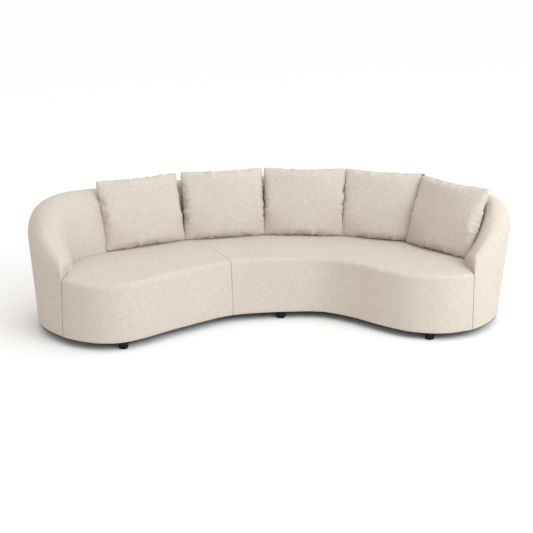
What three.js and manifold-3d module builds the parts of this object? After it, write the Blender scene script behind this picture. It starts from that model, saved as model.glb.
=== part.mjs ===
// A curved sofa on short turned feet, with five loose cushions, as a bench full of separate pieces.
// Millimetres, +Z up. The origin is on the floor, under the middle of the sofa's width and depth.
// Looking along +Y one faces the seat: the left lobe is the deeper one, the right lobe the shallower.

import * as THREE from 'three';
import { mergeVertices } from 'three/addons/utils/BufferGeometryUtils.js';
import Module from 'manifold-3d';

const wasm = await Module();
wasm.setup();

// Size of the upholstered body: its plan at the foot, and its heights
const planWidth = 3052;
const planDepth = 1402;
const rimHeight = 800;
const seatHeight = 420;
const seatCrown = 16;
const bodyBottom = 50;
const ceiling = 2 * rimHeight;

// Upholstery layers
const coverThickness = 6;
const waddingThickness = 10;
const backFoamThickness = 54;
const layerGap = 0.3;
const seamGap = 0.5;
const tuckDepth = 50;
const mergeReach = 0.0001;

// Back and arm section
const outerFlare = 48;
const innerLean = 52;
const outerRoll = 175;
const leastRoll = 6;
const peakShare = 0.34;
const innerRollShare = 0.45;
const rollSteps = 4;
const deepRollSteps = 2;
const armEndRise = 84;
const endRoll = 62;

// Seat section
const frontLean = 26;
const frontRoll = 30;
const edgeSteps = 2;
const topSteps = 3;

// Timber frame
const boardThickness = 18;
const panelThickness = 9;
const skinThickness = 4;
const formerThickness = 18;
const railWidth = 30;
const railHeight = 45;
const railTop = 255;
const topRailWidth = 44;
const footLanding = 90;
const toeGap = 2;

// Webbing and dust cover
const strapThickness = 2.5;
const strapWidth = 70;
const clothThickness = 1;

// Feet
const footTopDiameter = 64;
const footBaseDiameter = 58;
const footEdge = 4;
const boltRadius = 4;
const boltFit = 0.3;
const boltGrip = 26;
const boltReach = 14;
const nutDiameter = 16;
const nutHeight = 6;
const footInset = 42;
const footSides = 12;
const boltSides = 6;
const holeSides = 8;

// Loose cushions
const cushionWidthShare = 0.181;
const cushionWidth = cushionWidthShare * planWidth;
const cushionHeight = 478;
const cushionThickness = 140;
const cushionClothThickness = 3;
const cushionSeamWidth = 4;
const cushionSlack = 0.4;
const cushionRest = 0.4;
const cushionSink = 4;
const edgeDrawIn = 12;
const crownPower = 0.62;
const cushionCells = 8;
const rowSearchSteps = 20;
const zipLength = 396;
const zipWidth = 3.4;
const zipDepth = 3;
const zipFit = 0.3;
const cutOverrun = 12;
const zipSteps = 5;

// The plan, row by row from the left arm's end to the right arm's end. A row crosses the sofa:
// front edge, foot of the inner back, outer edge, the height of the rim over the seat, and, near
// the arms' ends, the place inside the arm to which the seat's foam would reach.
// Places are shares of the half width and the half depth.
const planShares = [
  {
    front: [-0.846, -0.850], inner: [-0.812, -0.560], outer: [-0.846, -0.850], riseShare: 0,
    tuck: [-0.815, -0.589],
  },
  { front: [-0.789, -0.930], inner: [-0.830, -0.366], outer: [-0.962, -0.585], riseShare: 0.46 },
  { front: [-0.688, -0.995], inner: [-0.797, -0.230], outer: [-1.004, -0.220], riseShare: 0.94 },
  { front: [-0.584, -0.971], inner: [-0.738, -0.100], outer: [-0.967, 0.135], riseShare: 1.02 },
  { front: [-0.364, -0.618], inner: [-0.588, 0.190], outer: [-0.673, 0.490], riseShare: 1 },
  { front: [-0.156, -0.323], inner: [-0.371, 0.422], outer: [-0.442, 0.706], riseShare: 1 },
  { front: [0.123, -0.229], inner: [0.009, 0.592], outer: [-0.004, 0.916], riseShare: 1 },
  { front: [0.234, -0.238], inner: [0.191, 0.602], outer: [0.200, 0.925], riseShare: 1 },
  { front: [0.351, -0.370], inner: [0.359, 0.557], outer: [0.395, 0.868], riseShare: 1 },
  { front: [0.464, -0.568], inner: [0.520, 0.450], outer: [0.577, 0.751], riseShare: 1 },
  { front: [0.576, -0.720], inner: [0.663, 0.305], outer: [0.742, 0.582], riseShare: 1 },
  { front: [0.662, -0.764], inner: [0.772, 0.155], outer: [0.900, 0.370], riseShare: 1.01 },
  { front: [0.729, -0.764], inner: [0.842, 0.010], outer: [0.992, 0.075], riseShare: 1.02 },
  {
    front: [0.783, -0.737], inner: [0.868, -0.130], outer: [1.000, -0.200], riseShare: 0.95,
    tuck: [0.889, -0.207],
  },
  {
    front: [0.818, -0.709], inner: [0.856, -0.268], outer: [0.950, -0.460], riseShare: 0.47,
    tuck: [0.826, -0.421],
  },
  {
    front: [0.846, -0.682], inner: [0.816, -0.413], outer: [0.846, -0.682], riseShare: 0,
    tuck: [0.828, -0.520],
  },
];
const seamRow = 5;
const sweepSpacing = 175;

// Where the timber stands, in plan rows
const backFormerRows = [1.7, 3.2, 4.4, 5.5, 6.5, 8.4, 10.4, 12.2, 13.4];
const seatFormerRows = [2.4, 4.2, 5.3, 6.4, 9.5];
const windowRows = [
  [2.6, 3.0], [3.5, 4.0], [4.6, 5.15], [5.65, 6.2], [6.7, 7.4], [7.6, 8.2], [8.6, 9.3], [9.7, 10.2],
  [10.6, 11.3],
];
const strapRows = [2, 3.6, 4.6, 5.4, 6.1, 7.4, 8.8, 10.2, 12];
const strapShares = [0.3, 0.62];
const strapLandingShare = 0.6;

// Feet: plan row, side that they stand under
const footPlaces = [
  { row: 3.0, side: 'front' },
  { row: 5.745, side: 'front' },
  { row: 10.95, side: 'front' },
  { row: 2.6, side: 'outer' },
  { row: 5.0, side: 'outer' },
  { row: 8.0, side: 'outer' },
  { row: 11.8, side: 'outer' },
];

// Loose cushions: plan shares of the lower corners' middle, turn and lean in degrees, and the share
// of its width that a cushion keeps between its neighbour and the arm
const cushionPlaces = [
  { middle: [-0.543, 0.135], turn: 27.9, lean: 19, squeezeShare: 1 },
  { middle: [-0.200, 0.405], turn: 13.7, lean: 15, squeezeShare: 1 },
  { middle: [0.160, 0.472], turn: -2.6, lean: 15, squeezeShare: 1 },
  { middle: [0.508, 0.346], turn: -17, lean: 15, squeezeShare: 0.97 },
  { middle: [0.714, -0.068], turn: -48, lean: 18, squeezeShare: 0.97 },
];

// Colours and finishes
const fabricFinish = { color: 0xd9cfc0, roughness: 0.95, metalness: 0 };
const foamFinish = { color: 0xe8dfb8, roughness: 0.9, metalness: 0 };
const plywoodFinish = { color: 0xc9a674, roughness: 0.7, metalness: 0 };
const blackWoodFinish = { color: 0x17130f, roughness: 0.45, metalness: 0 };
const steelFinish = { color: 0xa9abad, roughness: 0.35, metalness: 1 };
const blackClothFinish = { color: 0x1b1b1c, roughness: 0.95, metalness: 0 };
const webbingFinish = { color: 0x3c3a36, roughness: 0.9, metalness: 0 };
const fibreFinish = { color: 0xf2efe8, roughness: 0.95, metalness: 0 };
const zipFinish = { color: 0xc6bba9, roughness: 0.6, metalness: 0 };

const sofa = new THREE.Group();

function addPiece(name, geometry, finish, parent = sofa) {
  const mesh = new THREE.Mesh(geometry, new THREE.MeshStandardMaterial(finish));
  mesh.name = name;
  parent.add(mesh);
  return mesh;
}

// Plan curves
const lastRow = planShares.length - 1;
const loopCount = 2 * lastRow;
const loopShares = [
  ...planShares.map((row) => row.outer),
  ...planShares.slice(1, lastRow).map((row) => row.front).reverse(),
];

function curveThrough(points, closed) {
  return new THREE.CatmullRomCurve3(points, closed, 'centripetal');
}

const shareLoop = curveThrough(loopShares.map(([x, y]) => new THREE.Vector3(x, y, 0)), true);
const shareBox = new THREE.Box3().setFromPoints(shareLoop.getPoints(12 * loopCount));

function place([x, y]) {
  const across = (x - shareBox.min.x) / (shareBox.max.x - shareBox.min.x);
  const along = (y - shareBox.min.y) / (shareBox.max.y - shareBox.min.y);
  return new THREE.Vector3(
    THREE.MathUtils.lerp(-planWidth / 2, planWidth / 2, across),
    THREE.MathUtils.lerp(-planDepth / 2, planDepth / 2, along),
    0,
  );
}

const outline = curveThrough(loopShares.map(place), true);
const innerLine = curveThrough(planShares.map((row) => {
  const foot = place(row.inner);
  foot.z = seatHeight + armEndRise + row.riseShare * (rimHeight - seatHeight - armEndRise);
  return foot;
}), false);

// The seat's body is built on into the wall, which is then cut out of it
const tuckLine = curveThrough(planShares.map((row) => {
  if (row.tuck) return place(row.tuck);
  const inner = place(row.inner);
  return inner.clone().addScaledVector(place(row.outer).sub(inner).normalize(), tuckDepth);
}), false);

// One row across the sofa: points in plan, the wall's thickness and the seat's depth
function slice(row) {
  const outer = outline.getPoint(row / loopCount);
  const front = outline.getPoint(((loopCount - row) % loopCount) / loopCount);
  const foot = innerLine.getPoint(row / lastRow);
  const tuck = tuckLine.getPoint(row / lastRow);
  const inner = new THREE.Vector3(foot.x, foot.y, 0);
  return {
    row, rim: foot.z, outer, front, inner,
    thickness: outer.distanceTo(inner),
    depth: front.distanceTo(tuck),
    inward: inner.clone().sub(outer).normalize(),
    backward: tuck.clone().sub(front).normalize(),
  };
}

// A point of the wall section stands n in from the outer edge, one of the seat n back from the front
const wallPoint = (cut, n, z) => cut.outer.clone().addScaledVector(cut.inward, n).setZ(z);
const seatPoint = (cut, n, z) => cut.front.clone().addScaledVector(cut.backward, n).setZ(z);

// The rows on which every swept layer has a ring, closer together where the plan bends
const sweepRows = [];
for (let row = 0; row < lastRow; row += 1) {
  const [a, b] = [slice(row), slice(row + 1)];
  const run = Math.max(a.outer.distanceTo(b.outer), a.front.distanceTo(b.front));
  const steps = Math.max(1, Math.round(run / sweepSpacing));
  for (let i = 0; i < steps; i += 1) sweepRows.push(row + i / steps);
}
sweepRows.push(lastRow);

function rowsBetween(first, last) {
  return [first, ...sweepRows.filter((row) => row > first && row < last), last];
}

// A closed solid through rings of points, flat at both ends. A ring that comes back along its own
// face from point turnAt on has its facets cut the other way there, so that layers nest.
function loft(rings, turnAt = Infinity) {
  const count = rings[0].length;
  const positions = rings.flat().flatMap((p) => [p.x, p.y, p.z]);
  const faces = [];
  for (let i = 0; i < rings.length - 1; i += 1) {
    for (let j = 0; j < count; j += 1) {
      const a = i * count + j;
      const b = i * count + ((j + 1) % count);
      if (j < turnAt) faces.push(a, b, b + count, a, b + count, a + count);
      else faces.push(a, b, a + count, b, b + count, a + count);
    }
  }
  // each flat end is closed by a ladder of triangles between its two sides
  const end = (rings.length - 1) * count;
  for (let i = 0; i + 1 < count - 1 - i; i += 1) {
    const j = count - 1 - i;
    faces.push(i + 1, i, j, end + i, end + i + 1, end + j);
    if (i + 1 < j - 1) faces.push(i + 1, j, j - 1, end + i + 1, end + j - 1, end + j);
  }
  const geometry = new THREE.BufferGeometry();
  geometry.setAttribute('position', new THREE.Float32BufferAttribute(positions, 3));
  geometry.setIndex(faces);
  return facingOut(geometry);
}

function volumeOf(geometry) {
  const position = geometry.getAttribute('position');
  const index = geometry.getIndex();
  const [a, b, c] = [new THREE.Vector3(), new THREE.Vector3(), new THREE.Vector3()];
  let total = 0;
  for (let i = 0; i < index.count; i += 3) {
    a.fromBufferAttribute(position, index.getX(i));
    b.fromBufferAttribute(position, index.getX(i + 1));
    c.fromBufferAttribute(position, index.getX(i + 2));
    total += a.dot(b.cross(c));
  }
  return total / 6;
}

function facingOut(geometry) {
  if (volumeOf(geometry) < 0) {
    const index = geometry.getIndex();
    for (let i = 0; i < index.count; i += 3) {
      const kept = index.getX(i);
      index.setX(i, index.getX(i + 1));
      index.setX(i + 1, kept);
    }
  }
  return geometry;
}

function sweep(first, last, pointOf, section, turned = false) {
  const rings = rowsBetween(first, last).map((row) => {
    const cut = slice(row);
    return section(cut).map(([n, z]) => pointOf(cut, n, z));
  });
  return loft(rings, turned ? rings[0].length / 2 : Infinity);
}

// Joining and cutting of closed solids
function solidOf(geometry) {
  const bare = geometry.clone();
  bare.deleteAttribute('normal');
  bare.deleteAttribute('uv');
  const merged = mergeVertices(bare, mergeReach);
  return new wasm.Manifold(new wasm.Mesh({
    numProp: 3,
    vertProperties: new Float32Array(merged.getAttribute('position').array),
    triVerts: new Uint32Array(merged.getIndex().array),
  }));
}

function geometryOf(solid) {
  const mesh = solid.getMesh();
  const geometry = new THREE.BufferGeometry();
  geometry.setAttribute('position', new THREE.BufferAttribute(mesh.vertProperties, 3));
  geometry.setIndex(new THREE.BufferAttribute(mesh.triVerts, 1));
  return geometry;
}

// The part of a solid between two heights
function between(solid, low, high) {
  const slab = new THREE.BoxGeometry(2 * planWidth, 2 * planWidth, high - low);
  slab.translate(0, 0, (low + high) / 2);
  return solid.intersect(solidOf(slab));
}

// The part of a solid on one side of an upright plane through a row
function besideRow(solid, row, pointOf, side) {
  const cut = slice(row);
  const start = pointOf(cut, 0, 0);
  const along = pointOf(cut, 1, 0).sub(start).normalize();
  const half = new THREE.BoxGeometry(2 * planWidth, planWidth, 2 * planWidth);
  half.translate(0, side * (planWidth / 2 + seamGap / 2), 0);
  half.rotateZ(Math.atan2(along.y, along.x));
  half.translate(start.x, start.y, 0);
  return solid.intersect(solidOf(half));
}

// The wall's face, set in from the fabric by its own amount outside, on top and inside.
// It runs from the floor up the outer face, over the rim and down the inner face to the floor.
// At the arm ends it leans in as the seat's front does; along the back it flares out.
function wallFace(cut, inset) {
  const { thickness, rim } = cut;
  const rise = Math.max(0, (rim - seatHeight - armEndRise) / (rimHeight - seatHeight - armEndRise));
  const endSlope = frontLean / (seatHeight - bodyBottom);
  const backSlope = -outerFlare / (rimHeight - outerRoll - bodyBottom);
  const slope = THREE.MathUtils.lerp(endSlope, backSlope, Math.min(1, rise));
  const roll = THREE.MathUtils.lerp(endRoll, outerRoll, Math.sqrt(rise));
  const top = rim - inset.top;
  const outerEnd = Math.min(rim - roll, top - leastRoll);
  const innerEnd = Math.min(seatHeight + (rim - seatHeight) * innerRollShare, top - leastRoll);
  const lean = innerLean * Math.min(1, rise);
  const peak = thickness * peakShare;
  const outerAt = (z) => inset.outer + slope * (z - bodyBottom);
  const leanShare = (z) => Math.max(0, (z - seatHeight) / Math.max(leastRoll, innerEnd - seatHeight));
  const innerAt = (z) => thickness - inset.inner - lean * leanShare(z);
  const middle = (bodyBottom + rim - roll) / 2;
  const points = [[outerAt(0), 0], [outerAt(middle), middle]];
  const steps = inset.top < backFoamThickness ? rollSteps : deepRollSteps;
  for (let i = 0; i <= steps; i += 1) {
    const angle = (Math.PI / 2) * (i / steps);
    const reach = peak - outerAt(outerEnd);
    points.push([peak - reach * Math.cos(angle), outerEnd + (top - outerEnd) * Math.sin(angle)]);
  }
  for (let i = 1; i <= steps; i += 1) {
    const angle = (Math.PI / 2) * (i / steps);
    const reach = innerAt(innerEnd) - peak;
    points.push([peak + reach * Math.sin(angle), innerEnd + (top - innerEnd) * Math.cos(angle)]);
  }
  const knee = innerEnd > seatHeight + leastRoll ? seatHeight : innerEnd / 2;
  points.push([innerAt(knee), knee], [innerAt(0), 0]);
  return points;
}

// The seat's face, from the floor up the front, over the top edge and down the back to the floor
function seatFace(cut, inset) {
  const back = cut.depth;
  const slope = frontLean / (seatHeight - bodyBottom);
  const frontAt = (z) => inset.front + slope * (z - bodyBottom);
  const edge = seatHeight - inset.top;
  const roll = frontRoll - inset.top;
  const middle = (bodyBottom + seatHeight) / 2;
  const points = [[frontAt(0), 0], [frontAt(middle), middle]];
  const start = frontAt(edge - roll);
  for (let i = 0; i <= edgeSteps; i += 1) {
    const angle = (Math.PI / 2) * (i / edgeSteps);
    points.push([start + roll * (1 - Math.cos(angle)), edge - roll * (1 - Math.sin(angle))]);
  }
  for (let i = 1; i <= topSteps; i += 1) {
    const share = i / topSteps;
    points.push([
      THREE.MathUtils.lerp(start + roll, back, share),
      edge + seatCrown * Math.sin(Math.PI * share),
    ]);
  }
  points.push([back, 0]);
  return points;
}

// The two ends of the wall: where the end face stands, and which way is out of the wall
const wallEnds = [[0, 1], [sweepRows.length - 1, sweepRows.length - 2]].map(([end, next]) => {
  const { inward, thickness } = slice(sweepRows[end]);
  const [middle, neighbour] = [end, next].map((i) => {
    const cut = slice(sweepRows[i]);
    return cut.inner.add(cut.outer).divideScalar(2);
  });
  const out = middle.clone().sub(neighbour);
  out.addScaledVector(inward, -out.dot(inward)).normalize();
  return { middle, out, thickness };
});

// All that lies beyond an end face that is set in by an amount, up to the inner face
function beyondEnd({ middle, out, thickness }, inset) {
  const run = 2 * tuckDepth + inset.end;
  const inner = thickness / 2 + Math.max(0, -inset.inner) + layerGap;
  const outer = thickness / 2 + tuckDepth;
  const side = Math.sign(out.x) || 1;
  const block = new THREE.BoxGeometry(run, inner + outer, 2 * ceiling);
  block.translate(run / 2 - inset.end, side * (inner - outer) / 2, 0);
  block.rotateZ(Math.atan2(out.y, out.x));
  block.translate(middle.x, middle.y, 0);
  return solidOf(block);
}

// The whole wall as one solid, set in by its own amount outside, on top, inside and at its two ends
function wallBlock(inset) {
  const rings = sweepRows.map((row) => {
    const cut = slice(row);
    return wallFace(cut, inset).map(([n, z]) => wallPoint(cut, n, z));
  });
  const moved = (ring, { out }) => ring.map((point) => point.clone().addScaledVector(out, tuckDepth));
  const longer = [moved(rings[0], wallEnds[0]), ...rings, moved(rings[rings.length - 1], wallEnds[1])];
  return wallEnds.reduce(
    (solid, end) => solid.subtract(beyondEnd(end, inset)),
    solidOf(loft(longer)),
  );
}

// The whole seat as one solid that reaches into the wall, set in in front and on top
function seatBlock(inset) {
  return solidOf(sweep(0, lastRow, seatPoint, (cut) => seatFace(cut, inset)));
}

const uniform = (amount) => ({ outer: amount, inner: amount, top: amount, front: amount, end: amount });
const openInside = { inner: -tuckDepth, end: -tuckDepth };
const inWadding = coverThickness + layerGap;
const inFrame = inWadding + waddingThickness + layerGap;
const webbingBottom = railTop + layerGap;
const legBottom = webbingBottom + strapThickness + layerGap;
const dustBottom = bodyBottom + layerGap;
const boardBottom = dustBottom + clothThickness + layerGap;
const boardTop = boardBottom + boardThickness;
const frameBottom = boardTop + layerGap;
const innerSkinInset = inWadding + backFoamThickness + layerGap;
const formerInnerInset = innerSkinInset + skinThickness + layerGap;

// Covers: two halves of the back and two of the seat, meeting at the seam row. They reach down to
// the edge of the base board outside, and only to the webbing inside.
const underWall = between(wallBlock({ ...uniform(coverThickness), ...openInside }), 0, legBottom);
const backCover = between(wallBlock(uniform(0)), dustBottom, ceiling)
  .subtract(wallBlock(uniform(coverThickness)))
  .subtract(underWall);
const seatCover = between(seatBlock(uniform(0)), dustBottom, ceiling)
  .subtract(wallBlock(uniform(-seamGap)))
  .subtract(seatBlock(uniform(coverThickness)).subtract(wallBlock(uniform(-seamGap - coverThickness))))
  .subtract(between(seatBlock(uniform(coverThickness)), 0, legBottom))
  .subtract(underWall);
[['left', 1], ['right', -1]].forEach(([name, side]) => {
  addPiece(`back_cover_${name}`, geometryOf(besideRow(backCover, seamRow, wallPoint, -side)), fabricFinish);
  addPiece(`seat_cover_${name}`, geometryOf(besideRow(seatCover, seamRow, seatPoint, side)), fabricFinish);
});

// Foam and wadding of the wall: thin outside, thick over the rim and down the inner face
const outerWadding = inWadding + waddingThickness;
const innerFoam = inWadding + backFoamThickness;
const backFoam = between(wallBlock(uniform(inWadding)), boardBottom, ceiling)
  .subtract(wallBlock({ outer: outerWadding, top: innerFoam, inner: innerFoam, end: outerWadding }))
  .subtract(between(wallBlock({ ...uniform(outerWadding), ...openInside }), 0, legBottom));
addPiece('back_foam', geometryOf(backFoam), foamFinish);

// Seat foam: a thick block on the webbing with a thin skirt down the front
const seatFoam = between(seatBlock(uniform(inWadding)), boardBottom, ceiling)
  .subtract(wallBlock(uniform(-seamGap - inWadding)))
  .subtract(between(seatBlock(uniform(outerWadding)), 0, legBottom));
addPiece('seat_foam', geometryOf(seatFoam), foamFinish);

// Bent front panel and the rail behind its top edge
const frontSlope = frontLean / (seatHeight - bodyBottom);
const leaning = (n, z) => n + frontSlope * (z - bodyBottom);
const panelBack = inFrame + panelThickness;
const railFront = panelBack + layerGap;
const railBottom = railTop - railHeight;
function frontStrip(from, to, low, high) {
  const under = uniform(inWadding);
  const strip = seatBlock({ ...under, front: from }).subtract(seatBlock({ ...under, front: to }));
  return between(strip, low, high).subtract(wallBlock(uniform(-seamGap - inWadding)));
}
addPiece('front_panel', geometryOf(frontStrip(inFrame, panelBack, frameBottom, railTop)), plywoodFinish);
const frontRail = frontStrip(railFront, railFront + railWidth, railBottom, railTop);
addPiece('front_rail', geometryOf(frontRail), plywoodFinish);

// Rear rail under the foot of the inner back, where the webbing ends
const rearRail = (cut) => {
  const back = cut.thickness - formerInnerInset;
  return [[back, railBottom], [back, railTop], [back + railWidth, railTop], [back + railWidth, railBottom]];
};
addPiece('rear_rail', sweep(1, lastRow - 1, wallPoint, rearRail), plywoodFinish);

// Bent skins on both faces of the back formers
const outerSkin = (cut) => [
  ...wallFace(cut, { ...uniform(inFrame), top: innerSkinInset }).slice(0, 3),
  ...wallFace(cut, { ...uniform(inFrame + skinThickness), top: innerSkinInset }).slice(0, 3).reverse(),
];
const outerSkinSolid = solidOf(sweep(0, lastRow, wallPoint, outerSkin, true));
const skinReach = wallBlock({ ...uniform(inWadding), end: inFrame });
addPiece(
  'back_skin_outer',
  geometryOf(between(outerSkinSolid.intersect(skinReach), frameBottom, ceiling)),
  plywoodFinish,
);
const innerSkin = (cut) => {
  const near = { outer: inFrame, top: innerSkinInset, inner: innerSkinInset };
  const far = { outer: inFrame, top: innerSkinInset, inner: innerSkinInset + skinThickness };
  return [...wallFace(cut, near).slice(-3), ...wallFace(cut, far).slice(-3).reverse()];
};
const innerSkinSolid = solidOf(sweep(1, lastRow - 1, wallPoint, innerSkin, true));
addPiece('back_skin_inner', geometryOf(between(innerSkinSolid, webbingBottom, ceiling)), plywoodFinish);

// Top rail: a strip let in along the crest of the formers, rounded off under the foam
const crestInset = {
  outer: inFrame + skinThickness + layerGap,
  top: innerSkinInset,
  inner: formerInnerInset + layerGap,
  end: outerWadding + layerGap,
};
const railLow = (cut) => cut.rim - innerSkinInset - boardThickness;
const railStrip = (gap) => (cut) => {
  const middle = cut.thickness * peakShare;
  const reach = topRailWidth / 2 + gap;
  const low = railLow(cut) - gap;
  return [[middle - reach, low], [middle - reach, cut.rim], [middle + reach, cut.rim], [middle + reach, low]];
};
const wallCore = wallBlock(crestInset);
const topRail = solidOf(sweep(1, lastRow - 1, wallPoint, railStrip(0))).intersect(wallCore);
addPiece('top_rail', geometryOf(topRail), plywoodFinish);

// A flat plate standing across one row, cut out of the space inside the layers by a straight slab
function plate(row, pointOf, reach, core) {
  const cut = slice(row);
  const start = pointOf(cut, 0, 0);
  const along = pointOf(cut, 1, 0).sub(start).normalize();
  const slab = new THREE.BoxGeometry(reach, formerThickness, ceiling);
  slab.translate(reach / 2, 0, ceiling / 2);
  slab.rotateZ(Math.atan2(along.y, along.x));
  slab.translate(start.x, start.y, 0);
  return geometryOf(core.intersect(solidOf(slab)));
}

// Back formers carry the skins and the top rail; their toe runs under the rear rail
const aboveRail = (cut) => {
  const low = railLow(cut);
  return [[-tuckDepth, low], [-tuckDepth, ceiling], [cut.thickness, ceiling], [cut.thickness, low]];
};
const toe = between(wallBlock({ ...crestInset, inner: toeGap }), frameBottom, railBottom - layerGap);
const backFormerCore = between(wallCore, frameBottom, ceiling)
  .add(toe)
  .subtract(solidOf(sweep(0, lastRow, wallPoint, aboveRail)))
  .subtract(solidOf(sweep(1, lastRow - 1, wallPoint, railStrip(layerGap))));
backFormerRows.forEach((row, i) => {
  const { thickness } = slice(row);
  addPiece(`back_former_${i + 1}`, plate(row, wallPoint, thickness, backFormerCore), plywoodFinish);
});

// Seat formers stand between the front panel and the back formers' toes
const seatFormerCore = between(
  seatBlock({ ...uniform(inWadding), front: railFront }),
  frameBottom,
  railBottom - layerGap,
).subtract(wallBlock(uniform(-seamGap)));
seatFormerRows.forEach((row, i) => {
  const { depth } = slice(row);
  addPiece(`seat_former_${i + 1}`, plate(row, seatPoint, depth, seatFormerCore), plywoodFinish);
});

// Flat pieces are drawn in plan and raised by their thickness
function planShape(points) {
  return new THREE.Shape(points.map((p) => new THREE.Vector2(p.x, p.y)));
}

function raised(shape, thickness, bottom) {
  const geometry = new THREE.ExtrudeGeometry(shape, { depth: thickness, bevelEnabled: false });
  geometry.translate(0, 0, bottom);
  return geometry;
}

// A point set in from the body's edge, between the two rings that its row lies between
function edgePoint(row, pointOf, amount) {
  const next = sweepRows.findIndex((ringRow) => ringRow > row);
  const [before, after] = [sweepRows[next - 1], sweepRows[next]];
  const start = pointOf(slice(before), amount, 0);
  return start.lerp(pointOf(slice(after), amount, 0), (row - before) / (after - before));
}

const footCentres = footPlaces.map(({ row, side }) => (
  edgePoint(row, side === 'front' ? seatPoint : wallPoint, footInset)
));

// Base board: the plan of the frame with windows between the formers, and a hole for each bolt
function footprint(low, high) {
  const seat = seatBlock({ ...uniform(inWadding), front: inFrame });
  const wall = wallBlock({ ...uniform(inWadding), outer: inFrame, end: -toeGap });
  return footCentres.reduce((solid, centre) => {
    const radius = boltRadius + boltFit;
    const hole = new THREE.CylinderGeometry(radius, radius, seatHeight, holeSides);
    hole.rotateX(Math.PI / 2);
    hole.translate(centre.x, centre.y, 0);
    return solid.subtract(solidOf(hole));
  }, between(seat.add(wall), low, high));
}

const windowAt = ([from, to]) => {
  const rows = rowsBetween(from, to);
  const near = rows.map((row) => seatPoint(slice(row), footLanding, 0));
  const far = rows.map((row) => wallPoint(slice(row), footLanding, 0));
  return solidOf(raised(planShape([...near, ...far.reverse()]), seatHeight, 0));
};
const baseBoard = windowRows.map(windowAt).reduce(
  (board, opening) => board.subtract(opening),
  footprint(boardBottom, boardTop),
);
addPiece('base_board', geometryOf(baseBoard), plywoodFinish);
addPiece('dust_cover', geometryOf(footprint(dustBottom, dustBottom + clothThickness)), blackClothFinish);

// Elastic webbing: straps from the front rail to the rear rail, and two along the seat
const strapLanding = railWidth * strapLandingShare;
function crossStrap(row) {
  const rowLength = slice(row).inner.distanceTo(slice(row + 1 / rowSearchSteps).inner) * rowSearchSteps;
  const half = strapWidth / 2 / rowLength;
  const edge = (at) => {
    const side = slice(at);
    return [
      seatPoint(side, leaning(railFront, railTop) + strapLanding, 0),
      side.inner,
      wallPoint(side, side.thickness - formerInnerInset + strapLanding, 0),
    ];
  };
  const corners = [...edge(row - half), ...edge(row + half).reverse()];
  return raised(planShape(corners), strapThickness, webbingBottom);
}

function longStrap(share) {
  const rows = planShares.map((_, row) => row).slice(Math.ceil(strapRows[0]), -Math.ceil(strapRows[0]));
  const side = (shift) => rows.map((row) => {
    const cut = slice(row);
    return seatPoint(cut, (cut.depth - tuckDepth) * share + shift, 0);
  });
  const points = [...side(-strapWidth / 2), ...side(strapWidth / 2).reverse()];
  return raised(planShape(points), strapThickness, webbingBottom);
}

const webbing = [...strapRows.map(crossStrap), ...strapShares.map(longStrap)]
  .map(solidOf)
  .reduce((joined, strap) => joined.add(strap));
addPiece('seat_webbing', geometryOf(webbing), webbingFinish);

// Feet: turned black wood, each on a bolt with its nut above the base board
const pocketDepth = boltGrip + boltReach / 2;
const footProfile = [
  [0, 0],
  [footBaseDiameter / 2 - footEdge, 0],
  [footBaseDiameter / 2, footEdge],
  [footTopDiameter / 2, bodyBottom - footEdge],
  [footTopDiameter / 2 - footEdge / 2, bodyBottom],
  [boltRadius + boltFit, bodyBottom],
  [boltRadius + boltFit, bodyBottom - pocketDepth],
  [0, bodyBottom - pocketDepth],
].map(([x, y]) => new THREE.Vector2(x, y));
const boltBottom = bodyBottom - pocketDepth + boltFit;
const boltProfile = [
  [0, boltBottom],
  [boltRadius, boltBottom],
  [boltRadius, frameBottom],
  [nutDiameter / 2, frameBottom],
  [nutDiameter / 2, frameBottom + nutHeight],
  [boltRadius, frameBottom + nutHeight],
  [boltRadius, frameBottom + nutHeight + boltReach],
  [0, frameBottom + nutHeight + boltReach],
].map(([x, y]) => new THREE.Vector2(x, y));

function turned(profile, sides) {
  const geometry = new THREE.LatheGeometry(profile, sides);
  geometry.rotateX(Math.PI / 2);
  return geometry;
}

footCentres.forEach((centre, i) => {
  const foot = addPiece(`foot_${i + 1}`, turned(footProfile, footSides), blackWoodFinish);
  foot.position.set(centre.x, centre.y, 0);
  const bolt = addPiece(`foot_bolt_${i + 1}`, turned(boltProfile, boltSides), steelFinish);
  bolt.position.set(centre.x, centre.y, 0);
});

// Loose cushions: a knife-edged pillow, its four sides drawn in between the corners
function drawIn(share, amount) {
  return amount * (1 - share * share);
}

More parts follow.
